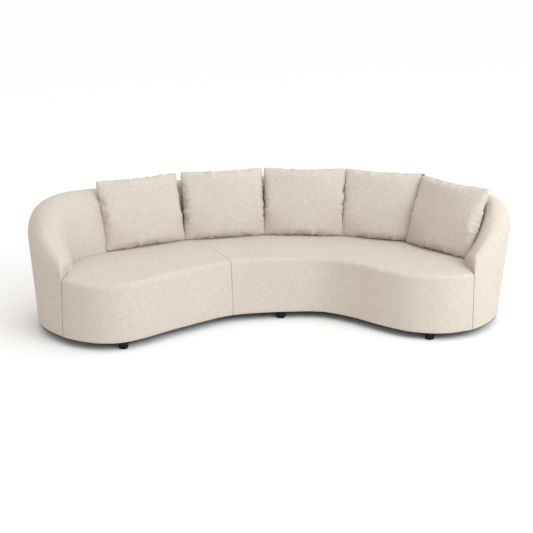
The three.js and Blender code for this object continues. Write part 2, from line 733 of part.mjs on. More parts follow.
function pillow(width, height, thickness, cells) {
  const points = [];
  const faces = [];
  const spread = (i) => Math.sin((Math.PI / 2) * ((2 * i) / cells - 1));
  const index = [new Map(), new Map()];
  [1, -1].forEach((side, layer) => {
    for (let i = 0; i <= cells; i += 1) {
      for (let j = 0; j <= cells; j += 1) {
        const edge = i === 0 || j === 0 || i === cells || j === cells;
        const key = i * (cells + 1) + j;
        if (edge && layer === 1) {
          index[1].set(key, index[0].get(key));
          continue;
        }
        const u = spread(i);
        const v = spread(j);
        const crown = edge ? 0 : Math.pow((1 - u * u) * (1 - v * v), crownPower);
        index[layer].set(key, points.length / 3);
        points.push(
          u * (width / 2 - drawIn(v, edgeDrawIn)),
          v * (height / 2 - drawIn(u, edgeDrawIn)),
          side * (thickness / 2) * crown,
        );
      }
    }
  });
  [0, 1].forEach((layer) => {
    for (let i = 0; i < cells; i += 1) {
      for (let j = 0; j < cells; j += 1) {
        const at = (a, b) => index[layer].get(a * (cells + 1) + b);
        const [a, b, c, d] = [at(i, j), at(i + 1, j), at(i + 1, j + 1), at(i, j + 1)];
        const risingDiagonal = (i < cells / 2) === (j < cells / 2);
        const quad = risingDiagonal ? [[a, b, c], [a, c, d]] : [[a, b, d], [b, c, d]];
        quad.forEach(([p, q, r]) => faces.push(...(layer === 0 ? [p, q, r] : [p, r, q])));
      }
    }
  });
  const geometry = new THREE.BufferGeometry();
  geometry.setAttribute('position', new THREE.Float32BufferAttribute(points, 3));
  geometry.setIndex(faces);
  return facingOut(geometry);
}

// Everything that a cushion is made of, before it is leaned against the back and dented by it
function cushionCover(width) {
  const inner = 2 * cushionSeamWidth;
  const outerSolid = pillow(width, cushionHeight, cushionThickness, cushionCells);
  const innerSolid = pillow(
    width - inner,
    cushionHeight - inner,
    cushionThickness - 2 * cushionClothThickness,
    cushionCells,
  );
  const slitWidth = cutOverrun + edgeDrawIn + zipWidth;
  const slit = new THREE.BoxGeometry(zipLength, slitWidth, zipDepth + 2 * zipFit);
  slit.translate(0, slitWidth / 2 - cutOverrun - cushionHeight / 2 + cushionSeamWidth, 0);
  return { outerSolid, innerSolid, slit };
}

function cushionPad(width) {
  const inner = 2 * (cushionSeamWidth + cushionSlack);
  return pillow(
    width - inner,
    cushionHeight - inner,
    cushionThickness - 2 * (cushionClothThickness + cushionSlack),
    cushionCells,
  );
}

// The zip lies in the lower seam and follows its curve
function cushionZip(width) {
  const reach = zipLength / 2 - zipFit;
  const rings = [];
  for (let i = 0; i <= zipSteps; i += 1) {
    const x = THREE.MathUtils.lerp(-reach, reach, i / zipSteps);
    const edge = drawIn((2 * x) / width, edgeDrawIn) - cushionHeight / 2 + zipFit;
    rings.push([
      new THREE.Vector3(x, edge, -zipDepth / 2),
      new THREE.Vector3(x, edge + zipWidth, -zipDepth / 2),
      new THREE.Vector3(x, edge + zipWidth, zipDepth / 2),
      new THREE.Vector3(x, edge, zipDepth / 2),
    ]);
  }
  return loft(rings);
}

// The seat's height under a point in plan, read on the row that passes through it
function seatTopAt(x, y) {
  let best = { miss: Infinity, height: seatHeight };
  for (let i = 0; i <= lastRow * rowSearchSteps; i += 1) {
    const cut = slice(i / rowSearchSteps);
    const n = (x - cut.front.x) * cut.backward.x + (y - cut.front.y) * cut.backward.y;
    const miss = seatPoint(cut, n, 0).distanceTo(new THREE.Vector3(x, y, 0));
    if (miss < best.miss) {
      const start = frontLean + frontRoll;
      const share = THREE.MathUtils.clamp((n - start) / (cut.depth - start), 0, 1);
      best = { miss, height: seatHeight + seatCrown * Math.sin(Math.PI * share) };
    }
  }
  return best.height;
}

// Each cushion is dented where it leans on the wall, sits on the seat or meets the next cushion,
// and so are its hollow and its pad
const dentGaps = [
  cushionRest,
  cushionRest + cushionClothThickness,
  cushionRest + cushionClothThickness + cushionSlack,
];
const dents = dentGaps.map((gap) => wallBlock(uniform(-gap)).add(seatBlock(uniform(-gap))));

[...cushionPlaces.entries()].reverse().forEach(([i, { middle, turn, lean: tilt, squeezeShare }]) => {
  const yaw = THREE.MathUtils.degToRad(turn);
  const lean = THREE.MathUtils.degToRad(tilt);
  const across = new THREE.Vector3(Math.cos(yaw), Math.sin(yaw), 0);
  const backward = new THREE.Vector3(-Math.sin(yaw), Math.cos(yaw), 0);
  const up = backward.multiplyScalar(Math.sin(lean)).setZ(Math.cos(lean));
  const foot = place(middle);
  const width = cushionWidth * squeezeShare;
  const corners = [-1, 1].map((side) => foot.clone().addScaledVector(across, side * width / 2));
  const floor = Math.max(...corners.map((corner) => seatTopAt(corner.x, corner.y)));
  const stand = new THREE.Matrix4().makeBasis(across, up, across.clone().cross(up));
  stand.setPosition(foot.clone().setZ(floor - cushionSink).addScaledVector(up, cushionHeight / 2));
  const placed = (geometry) => solidOf(geometry.clone().applyMatrix4(stand));
  const { outerSolid, innerSolid, slit } = cushionCover(width);
  const hollow = placed(innerSolid).subtract(dents[1]).add(placed(slit));
  const cover = placed(outerSolid).subtract(dents[0]).subtract(hollow);
  addPiece(`cushion_cover_${i + 1}`, geometryOf(cover), fabricFinish);
  addPiece(`cushion_pad_${i + 1}`, geometryOf(placed(cushionPad(width)).subtract(dents[2])), fibreFinish);
  addPiece(`cushion_zip_${i + 1}`, geometryOf(placed(cushionZip(width)).subtract(dents[0])), zipFinish);
  dentGaps.forEach((gap, level) => {
    const [wide, high, thick] = [width, cushionHeight, cushionThickness].map((length) => length + 2 * gap);
    const swollen = pillow(wide, high, thick, cushionCells);
    dents[level] = dents[level].add(placed(swollen));
  });
});

// The origin goes under the middle of the whole sofa
const centre = new THREE.Box3().setFromObject(sofa, true).getCenter(new THREE.Vector3()).setZ(0);
sofa.children.forEach((piece) => piece.position.sub(centre));

export default sofa;
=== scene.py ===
import math
import bmesh
import bpy
import numpy as np
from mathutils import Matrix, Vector, noise
from mathutils.bvhtree import BVHTree


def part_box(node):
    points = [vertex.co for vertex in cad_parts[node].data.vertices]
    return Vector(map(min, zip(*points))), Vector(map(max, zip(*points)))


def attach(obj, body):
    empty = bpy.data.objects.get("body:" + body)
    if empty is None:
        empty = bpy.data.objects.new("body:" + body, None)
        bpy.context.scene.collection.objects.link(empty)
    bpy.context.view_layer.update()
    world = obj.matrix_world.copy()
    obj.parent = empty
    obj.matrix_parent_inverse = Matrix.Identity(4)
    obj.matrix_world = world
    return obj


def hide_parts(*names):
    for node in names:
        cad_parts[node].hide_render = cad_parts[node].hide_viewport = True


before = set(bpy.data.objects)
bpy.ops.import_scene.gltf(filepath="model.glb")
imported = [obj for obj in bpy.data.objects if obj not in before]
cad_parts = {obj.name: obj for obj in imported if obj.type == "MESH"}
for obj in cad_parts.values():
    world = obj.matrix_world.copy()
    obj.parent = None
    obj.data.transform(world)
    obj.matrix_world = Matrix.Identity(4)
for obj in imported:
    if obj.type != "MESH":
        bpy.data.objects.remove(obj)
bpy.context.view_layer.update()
scene = bpy.context.scene
mm = 0.001


# camera, white studio floor and soft light from the upper right
studio = {
    "cameraPlace": (-0.017, -6.39, 2.388),
    "cameraPitch": 18.0,
    "focalPixels": 1000.0,
    "imagePixels": 533.0,
    "floorSize": 90.0,
    "skyStrength": 0.80,
    "skyTowards": (0.56, -0.20, 0.80),
    "shadeLight": (0.20, 0.04, 0.0),
    "brightLight": (1.90, 1.97, 2.03),
    "floorColour": "#EBE9E5",
    "softboxPlace": (3.6, -3.0, 3.2),
    "softboxAim": (0.0, 0.0, 0.4),
    "softboxSize": 2.4,
    "softboxPower": 130.0,
    "softboxColour": "#EAF3FF",
}


def addObject(name, data):
    made = bpy.data.objects.new(name, data)
    scene.collection.objects.link(made)
    return made


camera = addObject("camera", bpy.data.cameras.new("camera"))
camera.data.sensor_width = 36.0
camera.data.lens = 36.0 * studio["focalPixels"] / studio["imagePixels"]
camera.data.clip_end = 200.0
camera.location = studio["cameraPlace"]
camera.rotation_euler = (math.radians(90.0 - studio["cameraPitch"]), 0.0, 0.0)
scene.camera = camera
scene.view_settings.view_transform = "Standard"


def hexColour(code):
    # sRGB hex to the linear colour that sockets take
    parts = [int(code[i:i + 2], 16) / 255.0 for i in (1, 3, 5)]
    return tuple(p / 12.92 if p <= 0.04045 else ((p + 0.055) / 1.055) ** 2.4 for p in parts) + (1.0,)


def addNode(tree, kind, settings=None, inputs=None):
    # one node with its settings; an input is a value or the output it is linked to
    node = tree.nodes.new(kind)
    for name, value in (settings or {}).items():
        setattr(node, name, value)
    for name, value in (inputs or {}).items():
        if isinstance(value, bpy.types.NodeSocket):
            tree.links.new(value, node.inputs[name])
        else:
            node.inputs[name].default_value = value
    return node


def newMaterial(name):
    material = bpy.data.materials.new(name)
    material.use_nodes = True
    material.node_tree.nodes.clear()
    return material, material.node_tree


def finishMaterial(tree, shader):
    addNode(tree, "ShaderNodeOutputMaterial", {}, {"Surface": shader.outputs[0]})


def studioSky():
    # white studio ceiling and walls: bright and cool above on the right, dim and warm low down on the left
    sky = bpy.data.worlds.new("studioSky")
    sky.use_nodes = True
    tree = sky.node_tree
    tree.nodes.clear()
    direction = addNode(tree, "ShaderNodeTexCoord")
    length = math.sqrt(sum(n * n for n in studio["skyTowards"]))
    towards = addNode(tree, "ShaderNodeVectorMath", {"operation": "DOT_PRODUCT"}, {
        0: direction.outputs["Generated"], 1: tuple(n / length for n in studio["skyTowards"]),
    })
    lit = addNode(tree, "ShaderNodeMapRange", {}, {
        "Value": towards.outputs["Value"], "From Min": -1.0, "From Max": 1.0,
    })
    colour = addNode(tree, "ShaderNodeMix", {"data_type": "RGBA"}, {
        0: lit.outputs[0], 6: studio["shadeLight"] + (1.0,), 7: studio["brightLight"] + (1.0,),
    })
    background = addNode(tree, "ShaderNodeBackground", {}, {
        "Color": colour.outputs[2], "Strength": studio["skyStrength"],
    })
    addNode(tree, "ShaderNodeOutputWorld", {}, {"Surface": background.outputs[0]})
    scene.world = sky


studioSky()

softbox = addObject("softbox", bpy.data.lights.new("softbox", "AREA"))
softbox.data.energy = studio["softboxPower"]
softbox.data.size = studio["softboxSize"]
softbox.data.color = hexColour(studio["softboxColour"])[:3]
softbox.location = studio["softboxPlace"]
aim = Vector(studio["softboxPlace"]) - Vector(studio["softboxAim"])
softbox.rotation_euler = aim.to_track_quat("Z", "Y").to_euler()


def plainFloor():
    # matt white studio floor
    half = studio["floorSize"] / 2
    data = bpy.data.meshes.new("studioFloor")
    corners = [(-half, -half, 0), (half, -half, 0), (half, half, 0), (-half, half, 0)]
    data.from_pydata(corners, [], [(0, 1, 2, 3)])
    material, tree = newMaterial("paintedStudioFloor")
    shader = addNode(tree, "ShaderNodeBsdfPrincipled", {}, {
        "Base Color": hexColour(studio["floorColour"]), "Roughness": 0.9, "Specular IOR Level": 0.1,
    })
    finishMaterial(tree, shader)
    data.materials.append(material)
    addObject("studioFloor", data)


plainFloor()
print("studio ready")


# woven chenille: soft looped yarns in a plain weave, so matt, a little fuzzy and streaked by uneven yarns
chenille = {
    "light": "#C7BDB1",
    "dark": "#BAAFA1",
    "threadSpacing": 0.0026,
    "slubLength": 0.046,
    "slubWidth": 0.0065,
    "slubSeeds": (3.1, 7.7),
    "nubSize": 0.011,
    "nubShare": 0.6,
    "cloudScale": 3.2,
    "cloudShare": 0.25,
    "shadeRange": (0.95, 1.90),
    "yarnHeight": 0.35,
    "bumpStrength": 0.55,
    "bumpDistance": 0.0016,
    "roughness": 0.95,
    "specular": 0.15,
    "sheen": 0.12,
    "sheenRoughness": 0.6,
    "sheenTint": "#F4EEE4",
}


def chenilleMaterial(name):
    material, tree = newMaterial(name)
    coordinates = addNode(tree, "ShaderNodeUVMap", {"uv_map": "weave"})
    local = addNode(tree, "ShaderNodeTexCoord")

    def slubs(length, width, seed):
        # thicker stretches of yarn along one direction of the weave
        mapping = addNode(tree, "ShaderNodeMapping", {}, {
            "Vector": coordinates.outputs["UV"],
            "Location": (seed, seed / 2, 0),
            "Scale": (1 / length, 1 / width, 1),
        })
        return addNode(tree, "ShaderNodeTexNoise", {"noise_dimensions": "2D"}, {
            "Vector": mapping.outputs["Vector"], "Scale": 1.0, "Detail": 1.0, "Roughness": 0.4,
        }).outputs["Fac"]

    warp = slubs(chenille["slubWidth"], chenille["slubLength"], chenille["slubSeeds"][0])
    weft = slubs(chenille["slubLength"], chenille["slubWidth"], chenille["slubSeeds"][1])
    crossing = addNode(tree, "ShaderNodeMath", {"operation": "ADD"}, {0: warp, 1: weft})
    nubs = addNode(tree, "ShaderNodeTexNoise", {}, {
        "Vector": local.outputs["Object"], "Scale": 1 / chenille["nubSize"], "Detail": 2.0, "Roughness": 0.6,
    })
    cloud = addNode(tree, "ShaderNodeTexNoise", {}, {
        "Vector": local.outputs["Object"], "Scale": chenille["cloudScale"], "Detail": 2.0, "Roughness": 0.5,
    })
    mixed = addNode(tree, "ShaderNodeMath", {"operation": "MULTIPLY_ADD"}, {
        0: nubs.outputs["Fac"], 1: chenille["nubShare"], 2: crossing.outputs[0],
    })
    clouded = addNode(tree, "ShaderNodeMath", {"operation": "MULTIPLY_ADD"}, {
        0: cloud.outputs["Fac"], 1: chenille["cloudShare"], 2: mixed.outputs[0],
    })
    shade = addNode(tree, "ShaderNodeMapRange", {}, {
        "Value": clouded.outputs[0],
        "From Min": chenille["shadeRange"][0],
        "From Max": chenille["shadeRange"][1],
    })
    # yarns over and under each other, as a height for the bump
    stretched = addNode(tree, "ShaderNodeVectorMath", {"operation": "SCALE"}, {
        0: coordinates.outputs["UV"], "Scale": math.pi / chenille["threadSpacing"],
    })
    parts = addNode(tree, "ShaderNodeSeparateXYZ", {}, {0: stretched.outputs[0]})
    over, under = (
        addNode(tree, "ShaderNodeMath", {"operation": "SINE"}, {0: parts.outputs[axis]})
        for axis in ("X", "Y")
    )
    weave = addNode(tree, "ShaderNodeMath", {"operation": "MULTIPLY"}, {
        0: over.outputs[0], 1: under.outputs[0],
    })
    raised = addNode(tree, "ShaderNodeMath", {"operation": "MULTIPLY_ADD"}, {
        0: weave.outputs[0], 1: chenille["yarnHeight"], 2: clouded.outputs[0],
    })
    bump = addNode(tree, "ShaderNodeBump", {}, {
        "Strength": chenille["bumpStrength"],
        "Distance": chenille["bumpDistance"],
        "Height": raised.outputs[0],
    })
    colour = addNode(tree, "ShaderNodeMix", {"data_type": "RGBA"}, {
        0: shade.outputs[0], 6: hexColour(chenille["dark"]), 7: hexColour(chenille["light"]),
    })
    shader = addNode(tree, "ShaderNodeBsdfPrincipled", {}, {
        "Base Color": colour.outputs[2],
        "Roughness": chenille["roughness"],
        "Specular IOR Level": chenille["specular"],
        "Sheen Weight": chenille["sheen"],
        "Sheen Roughness": chenille["sheenRoughness"],
        "Sheen Tint": hexColour(chenille["sheenTint"]),
        "Normal": bump.outputs[0],
    })
    finishMaterial(tree, shader)
    return material


coverCloth = chenilleMaterial("creamChenille")


def mottledMaterial(name, colours, scale, roughness, bump, settings=None, stretch=(1, 1, 1)):
    # a finish whose colour and height both follow one noise; scale is the size of its grain in metres
    material, tree = newMaterial(name)
    local = addNode(tree, "ShaderNodeTexCoord")
    mapping = addNode(tree, "ShaderNodeMapping", {}, {"Vector": local.outputs["Object"], "Scale": stretch})
    grain = addNode(tree, "ShaderNodeTexNoise", {}, {
        "Vector": mapping.outputs["Vector"], "Scale": 1 / scale, "Detail": 4.0, "Roughness": 0.6,
    })
    shade = addNode(tree, "ShaderNodeMapRange", {}, {
        "Value": grain.outputs["Fac"], "From Min": 0.32, "From Max": 0.68,
    })
    colour = addNode(tree, "ShaderNodeMix", {"data_type": "RGBA"}, {
        0: shade.outputs[0], 6: hexColour(colours[0]), 7: hexColour(colours[1]),
    })
    height = addNode(tree, "ShaderNodeBump", {}, {
        "Strength": 0.5, "Distance": bump, "Height": grain.outputs["Fac"],
    })
    rough = addNode(tree, "ShaderNodeMapRange", {}, {
        "Value": grain.outputs["Fac"], "To Min": roughness[0], "To Max": roughness[1],
    })
    inputs = {"Base Color": colour.outputs[2], "Roughness": rough.outputs[0], "Normal": height.outputs[0]}
    inputs.update(settings or {})
    finishMaterial(tree, addNode(tree, "ShaderNodeBsdfPrincipled", {}, inputs))
    return material


# birch plywood, sanded: pale veneer with long fine grain along the sofa
birchPlywood = mottledMaterial(
    "sandedBirchPlywood", ("#C9A878", "#DDC29A"), 0.010, (0.55, 0.7), 0.0003,
    {"Specular IOR Level": 0.35}, (0.12, 1, 2))
# polyurethane foam, cut: open cells, quite matt, yellowing a little
cutFoam = mottledMaterial("cutUpholsteryFoam", ("#E4D9AF", "#F0E8C8"), 0.0035, (0.9, 1.0), 0.0015)
# spunbonded black cloth: felted and matt with a slight plastic glint
spunCloth = mottledMaterial(
    "blackSpunbondedCloth", ("#141414", "#232323"), 0.0018, (0.7, 0.9), 0.0004, {"Specular IOR Level": 0.3})
# elastic webbing of jute and rubber: dark, ribbed across
ribbedWebbing = mottledMaterial(
    "darkElasticWebbing", ("#2F2C28", "#4A453E"), 0.004, (0.8, 0.95), 0.0008, None, (1, 1, 3))
# beech stained black, without lacquer: the grain runs up the foot and only shows in the gloss
blackBeech = mottledMaterial(
    "blackStainedBeech", ("#040404", "#0B0A09"), 0.004, (0.5, 0.62), 0.0002,
    {"Specular IOR Level": 0.22}, (1, 1, 0.12))
# steel bolts, zinc plated: bright with a faint clouding
zincSteel = mottledMaterial(
    "zincPlatedSteel", ("#B4B7BA", "#C9CBCC"), 0.006, (0.28, 0.42), 0.0001, {"Metallic": 1.0})
# zip of nylon coil on woven tape, dyed to the cloth
dyedNylon = mottledMaterial("dyedNylonZip", ("#B9AC98", "#CABEAC"), 0.0015, (0.45, 0.6), 0.0002)

cadFinishes = {"seat_webbing": ribbedWebbing, "foot_bolt": zincSteel}
for start in ("front_panel", "front_rail", "rear_rail", "top_rail", "back_skin", "back_former", "seat_former",
              "base_board"):
    cadFinishes[start] = birchPlywood
for nodeName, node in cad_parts.items():
    for start, finish in cadFinishes.items():
        if nodeName.startswith(start):
            node.data.materials.clear()
            node.data.materials.append(finish)
print("cover cloth and frame finishes ready")


# plan of the sofa: shares of half width and half depth, row by row from the left arm's end to the right
sofaBody = {
    "planWidth": 3052.0, "planDepth": 1402.0, "rimHeight": 800.0, "seatHeight": 420.0, "seatCrown": 16.0,
    "bodyBottom": 50.0, "outerFlare": 48.0, "innerLean": 52.0, "outerRoll": 175.0, "leastRoll": 6.0,
    "peakShare": 0.34, "innerRollShare": 0.45, "armEndRise": 84.0, "endRoll": 62.0, "frontLean": 26.0,
    "frontRoll": 30.0, "leastFrontRoll": 4.0, "tuckDepth": 50.0, "shift": (2.895, -23.989),
    "hem": 50.3, "innerHem": 258.0, "clothThickness": 6.0, "seamRow": 5.0,
    "rowSpacing": 15.0, "rowsAtSeam": (0.0, 0.5, 1.5, 3.0, 5.0, 7.5, 11.0, 16.0, 23.0),
    "wallColumns": (40, 26, 34), "seatColumns": (30, 12, 48, 8, 5), "outerCrowding": 1.15,
    "frontCrowding": 1.1, "fineRows": 4001, "smoothRounds": 12,
}
planRows = [
    ((-0.846, -0.850), (-0.812, -0.560), (-0.846, -0.850), 0.00),
    ((-0.789, -0.930), (-0.830, -0.366), (-0.962, -0.585), 0.46),
    ((-0.688, -0.995), (-0.797, -0.230), (-1.004, -0.220), 0.94),
    ((-0.584, -0.971), (-0.738, -0.100), (-0.967, 0.135), 1.02),
    ((-0.364, -0.618), (-0.588, 0.190), (-0.673, 0.490), 1.00),
    ((-0.156, -0.323), (-0.371, 0.422), (-0.442, 0.706), 1.00),
    ((0.123, -0.229), (0.009, 0.592), (-0.004, 0.916), 1.00),
    ((0.234, -0.238), (0.191, 0.602), (0.200, 0.925), 1.00),
    ((0.351, -0.370), (0.359, 0.557), (0.395, 0.868), 1.00),
    ((0.464, -0.568), (0.520, 0.450), (0.577, 0.751), 1.00),
    ((0.576, -0.720), (0.663, 0.305), (0.742, 0.582), 1.00),
    ((0.662, -0.764), (0.772, 0.155), (0.900, 0.370), 1.01),
    ((0.729, -0.764), (0.842, 0.010), (0.992, 0.075), 1.02),
    ((0.783, -0.737), (0.868, -0.130), (1.000, -0.200), 0.95),
    ((0.818, -0.709), (0.856, -0.268), (0.950, -0.460), 0.47),
    ((0.846, -0.682), (0.816, -0.413), (0.846, -0.682), 0.00),
]
lastRow = len(planRows) - 1
loopCount = 2 * lastRow


def curveAt(points, closed, shares):
    # centripetal Catmull-Rom curve through the points
    points = np.asarray(points, float)
    count = len(points)
    place = (count if closed else count - 1) * np.asarray(shares, float)
    start = np.floor(place).astype(int)
    if not closed:
        start = np.minimum(start, count - 2)
    part = (place - start)[:, None]

    def at(index):
        if closed:
            return points[index % count]
        found = points[np.clip(index, 0, count - 1)].copy()
        found[index < 0] = 2 * points[0] - points[1]
        found[index > count - 1] = 2 * points[-1] - points[-2]
        return found

    a, b, c, d = (at(start + step) for step in (-1, 0, 1, 2))
    first, middle, last = (np.maximum(np.sum((q - p) ** 2, axis=1), 1e-9)[:, None] ** 0.25
                           for p, q in ((a, b), (b, c), (c, d)))
    leave = ((b - a) / first - (c - a) / (first + middle) + (c - b) / middle) * middle
    reach = ((c - b) / middle - (d - b) / (middle + last) + (d - c) / last) * middle
    return (b + leave * part + (3 * (c - b) - 2 * leave - reach) * part ** 2
            + (2 * (b - c) + leave + reach) * part ** 3)


loopShares = [row[2] for row in planRows] + [row[0] for row in planRows[1:lastRow]][::-1]
loopSteps = 12 * loopCount
shareLoop = curveAt(loopShares, True, np.arange(loopSteps) / loopSteps)
shareLow, shareHigh = shareLoop.min(axis=0), shareLoop.max(axis=0)


def planPlace(share):
    across, along = (np.array(share) - shareLow) / (shareHigh - shareLow)
    body = sofaBody
    return (
        (across - 0.5) * body["planWidth"] + body["shift"][0],
        (along - 0.5) * body["planDepth"] + body["shift"][1],
    )


rimRange = sofaBody["rimHeight"] - sofaBody["seatHeight"] - sofaBody["armEndRise"]
frontSlope = sofaBody["frontLean"] / (sofaBody["seatHeight"] - sofaBody["bodyBottom"])
outlinePoints = [planPlace(share) for share in loopShares]
armEnd = sofaBody["seatHeight"] + sofaBody["armEndRise"]
innerPoints = [planPlace(row[1]) + (armEnd + row[3] * rimRange,) for row in planRows]


def rowCuts(rows):
    # one dictionary of arrays for many rows across the sofa
    rows = np.asarray(rows, float)
    outer = curveAt(outlinePoints, True, rows / loopCount)
    front = curveAt(outlinePoints, True, ((loopCount - rows) % loopCount) / loopCount)
    foot = curveAt(innerPoints, False, rows / lastRow)
    inner, rim = foot[:, :2], foot[:, 2]
    thickness = np.linalg.norm(outer - inner, axis=1)
    depth = np.linalg.norm(inner - front, axis=1)
    return {
        "outer": outer, "front": front, "rim": rim, "thickness": thickness, "depth": depth,
        "inward": (inner - outer) / thickness[:, None],
        "backward": (inner - front) / depth[:, None],
    }


def blend(a, b, share):
    return a + (b - a) * share


def wallSection(thickness, rim, low, innerLow):
    # points (in from the outer edge, height) from the outside hem over the rim to the inside hem
    body = sofaBody
    rise = max(0.0, (rim - body["seatHeight"] - body["armEndRise"]) / rimRange)
    backSlope = -body["outerFlare"] / (body["rimHeight"] - body["outerRoll"] - body["bodyBottom"])
    slope = blend(frontSlope, backSlope, min(1.0, rise))
    roll = blend(body["endRoll"], body["outerRoll"], math.sqrt(rise))
    outerEnd = min(rim - roll, rim - body["leastRoll"])
    innerEnd = body["seatHeight"] + (rim - body["seatHeight"]) * body["innerRollShare"]
    innerEnd = min(innerEnd, rim - body["leastRoll"])
    outerCount, rollCount, innerCount = body["wallColumns"]
    lean = body["innerLean"] * min(1.0, rise)
    peak = thickness * body["peakShare"]

    def outerAt(z):
        return slope * (z - body["bodyBottom"])

    def innerAt(z):
        length = max(body["leastRoll"], innerEnd - body["seatHeight"])
        share = np.maximum(0.0, (z - body["seatHeight"]) / length)
        # the lean starts softly, so that no ridge shows at the seat
        return thickness - lean * share * share * (1.6 - 0.6 * share)

    up = low + (outerEnd - low) * np.linspace(0, 1, outerCount) ** body["outerCrowding"]
    first = np.stack([outerAt(up), up], axis=1)
    turn = np.linspace(0, math.pi / 2, rollCount)[1:]
    sine, cosine = np.sin(turn), np.cos(turn)
    outerReach, innerReach = peak - outerAt(outerEnd), innerAt(innerEnd) - peak
    second = np.stack([peak - outerReach * cosine, outerEnd + (rim - outerEnd) * sine], axis=1)
    third = np.stack([peak + innerReach * sine, innerEnd + (rim - innerEnd) * cosine], axis=1)
    down = innerEnd + (innerLow - innerEnd) * np.linspace(0, 1, innerCount)[1:]
    fourth = np.stack([innerAt(down), down], axis=1)
    return np.concatenate([first, second, third, fourth])


def seatSection(depth, low, inset=(0.0, 0.0), gap=-4.0, crease=12.0, tuck=34.0):
    # points (back from the front edge, height) from the front hem over the edge to the crease at the back
    body = sofaBody
    frontInset, topInset = inset
    edge = body["seatHeight"] - topInset
    roll = max(body["leastFrontRoll"], body["frontRoll"] - topInset)

    def frontAt(z):
        return frontInset + frontSlope * (z - body["bodyBottom"])

    frontCount, edgeCount, topCount, creaseCount, tuckCount = body["seatColumns"]
    start = frontAt(edge - roll)
    up = low + (edge - roll - low) * np.linspace(0, 1, frontCount) ** body["frontCrowding"]
    first = np.stack([frontAt(up), up], axis=1)
    turn = np.linspace(0, math.pi / 2, edgeCount)[1:]
    second = np.stack([start + roll * (1 - np.cos(turn)), edge - roll * (1 - np.sin(turn))], axis=1)
    back = depth - gap - crease
    run = blend(start + roll, back, np.linspace(0, 1, topCount)[1:])
    share = (run - start - roll) / (depth + body["tuckDepth"] - start - roll)
    crown = body["seatCrown"] * np.sin(math.pi * share)
    third = np.stack([run, edge + crown], axis=1)
    turn = np.linspace(0, math.pi / 2, creaseCount)[1:]
    fourth = np.stack([back + crease * np.sin(turn), edge + crown[-1] - crease * (1 - np.cos(turn))], axis=1)
    down = edge + crown[-1] - crease - tuck * np.linspace(0, 1, tuckCount)[1:]
    fifth = np.stack([np.full(tuckCount - 1, back + crease), down], axis=1)
    return np.concatenate([first, second, third, fourth, fifth])


def rowsFor(first, last):
    # rows closer together at the two seams, and evenly along the sofa between them
    fine = np.linspace(first, last, sofaBody["fineRows"])
    cuts = rowCuts(fine)
    steps = np.maximum(
        np.linalg.norm(np.diff(cuts["outer"], axis=0), axis=1),
        np.linalg.norm(np.diff(cuts["front"], axis=0), axis=1),
    )
    length = np.concatenate([[0.0], np.cumsum(steps)])
    near = sofaBody["rowsAtSeam"]
    count = int((length[-1] - 2 * near[-1]) / sofaBody["rowSpacing"])
    middle = np.linspace(near[-1], length[-1] - near[-1], count + 1)
    wanted = np.concatenate([near[:-1], middle, [length[-1] - n for n in near[-2::-1]]])
    return np.interp(wanted, length, fine)


def centredSteps(grid):
    # change from the point before to the point after, along each row
    steps = np.empty_like(grid)
    steps[:, 1:-1] = grid[:, 2:] - grid[:, :-2]
    steps[:, 0] = grid[:, 1] - grid[:, 0]
    steps[:, -1] = grid[:, -1] - grid[:, -2]
    return steps


def unit(vectors):
    return vectors / np.maximum(np.linalg.norm(vectors, axis=-1, keepdims=True), 1e-9)


def gridNormals(grid, outward):
    # normals of the surface, on the side that the outward direction names
    along = centredSteps(grid.swapaxes(0, 1)).swapaxes(0, 1)
    normals = unit(np.cross(centredSteps(grid), along))
    return -normals if np.sum(normals[len(grid) // 2, 5] * outward) < 0 else normals


def runLengths(grid, axis):
    steps = np.linalg.norm(np.diff(grid, axis=axis), axis=2)
    start = np.zeros_like(np.take(steps, [0], axis=axis))
    return np.cumsum(np.concatenate([start, steps], axis=axis), axis=axis)


def rounding(distance, radius):
    # how far a rounded edge lies under the flat surface, this far from the edge
    inside = np.clip(radius - distance, 0.0, radius)
    return radius - np.sqrt(np.maximum(radius ** 2 - inside ** 2, 0.0))


def makeMesh(name, points, faces, uvs=None):
    # points in millimetres, already in place
    data = bpy.data.meshes.new(name)
    data.from_pydata((np.asarray(points) * mm).tolist(), [], [tuple(f) for f in faces])
    if uvs is not None:
        layer = data.uv_layers.new(name="weave")
        corners = np.zeros(len(data.loops), dtype=np.int32)
        data.loops.foreach_get("vertex_index", corners)
        layer.data.foreach_set("uv", (np.asarray(uvs)[corners] * mm).astype(np.float32).ravel())
    data.polygons.foreach_set("use_smooth", [True] * len(data.polygons))
    data.update()
    return addObject(name, data)


def gridFaces(rows, columns):
    index = np.arange(rows * columns).reshape(rows, columns)
    corners = [index[:-1, :-1], index[:-1, 1:], index[1:, 1:], index[1:, :-1]]
    return np.stack(corners, axis=-1).reshape(-1, 4)


def ringFaces(rings):
    # quads between the rings of points of a solid, and a flat face on each end
    index = np.arange(rings.shape[0] * rings.shape[1]).reshape(rings.shape[:2])
    after = np.roll(index, -1, axis=1)
    faces = np.stack([index[:-1], after[:-1], after[1:], index[1:]], axis=-1).reshape(-1, 4).tolist()
    return faces + [index[0, ::-1].tolist(), index[-1].tolist()]


def shellMesh(name, outside, inside, weave):
    # closed sheet of cloth between two grids of points
    rows, columns = outside.shape[:2]
    count = rows * columns
    index = np.arange(count).reshape(rows, columns)
    rim = np.concatenate([index[0, :], index[1:, -1], index[-1, -2::-1], index[-2:0:-1, 0]])
    after = np.roll(rim, -1)
    band = np.stack([after, rim, rim + count, after + count], axis=1)
    sheet = gridFaces(rows, columns)
    faces = np.concatenate([sheet, sheet[:, ::-1] + count, band[:, ::-1]])
    points = np.concatenate([outside.reshape(-1, 3), inside.reshape(-1, 3)])
    uvs = np.concatenate([weave.reshape(-1, 2)] * 2)
    return makeMesh(name, points, faces, uvs)


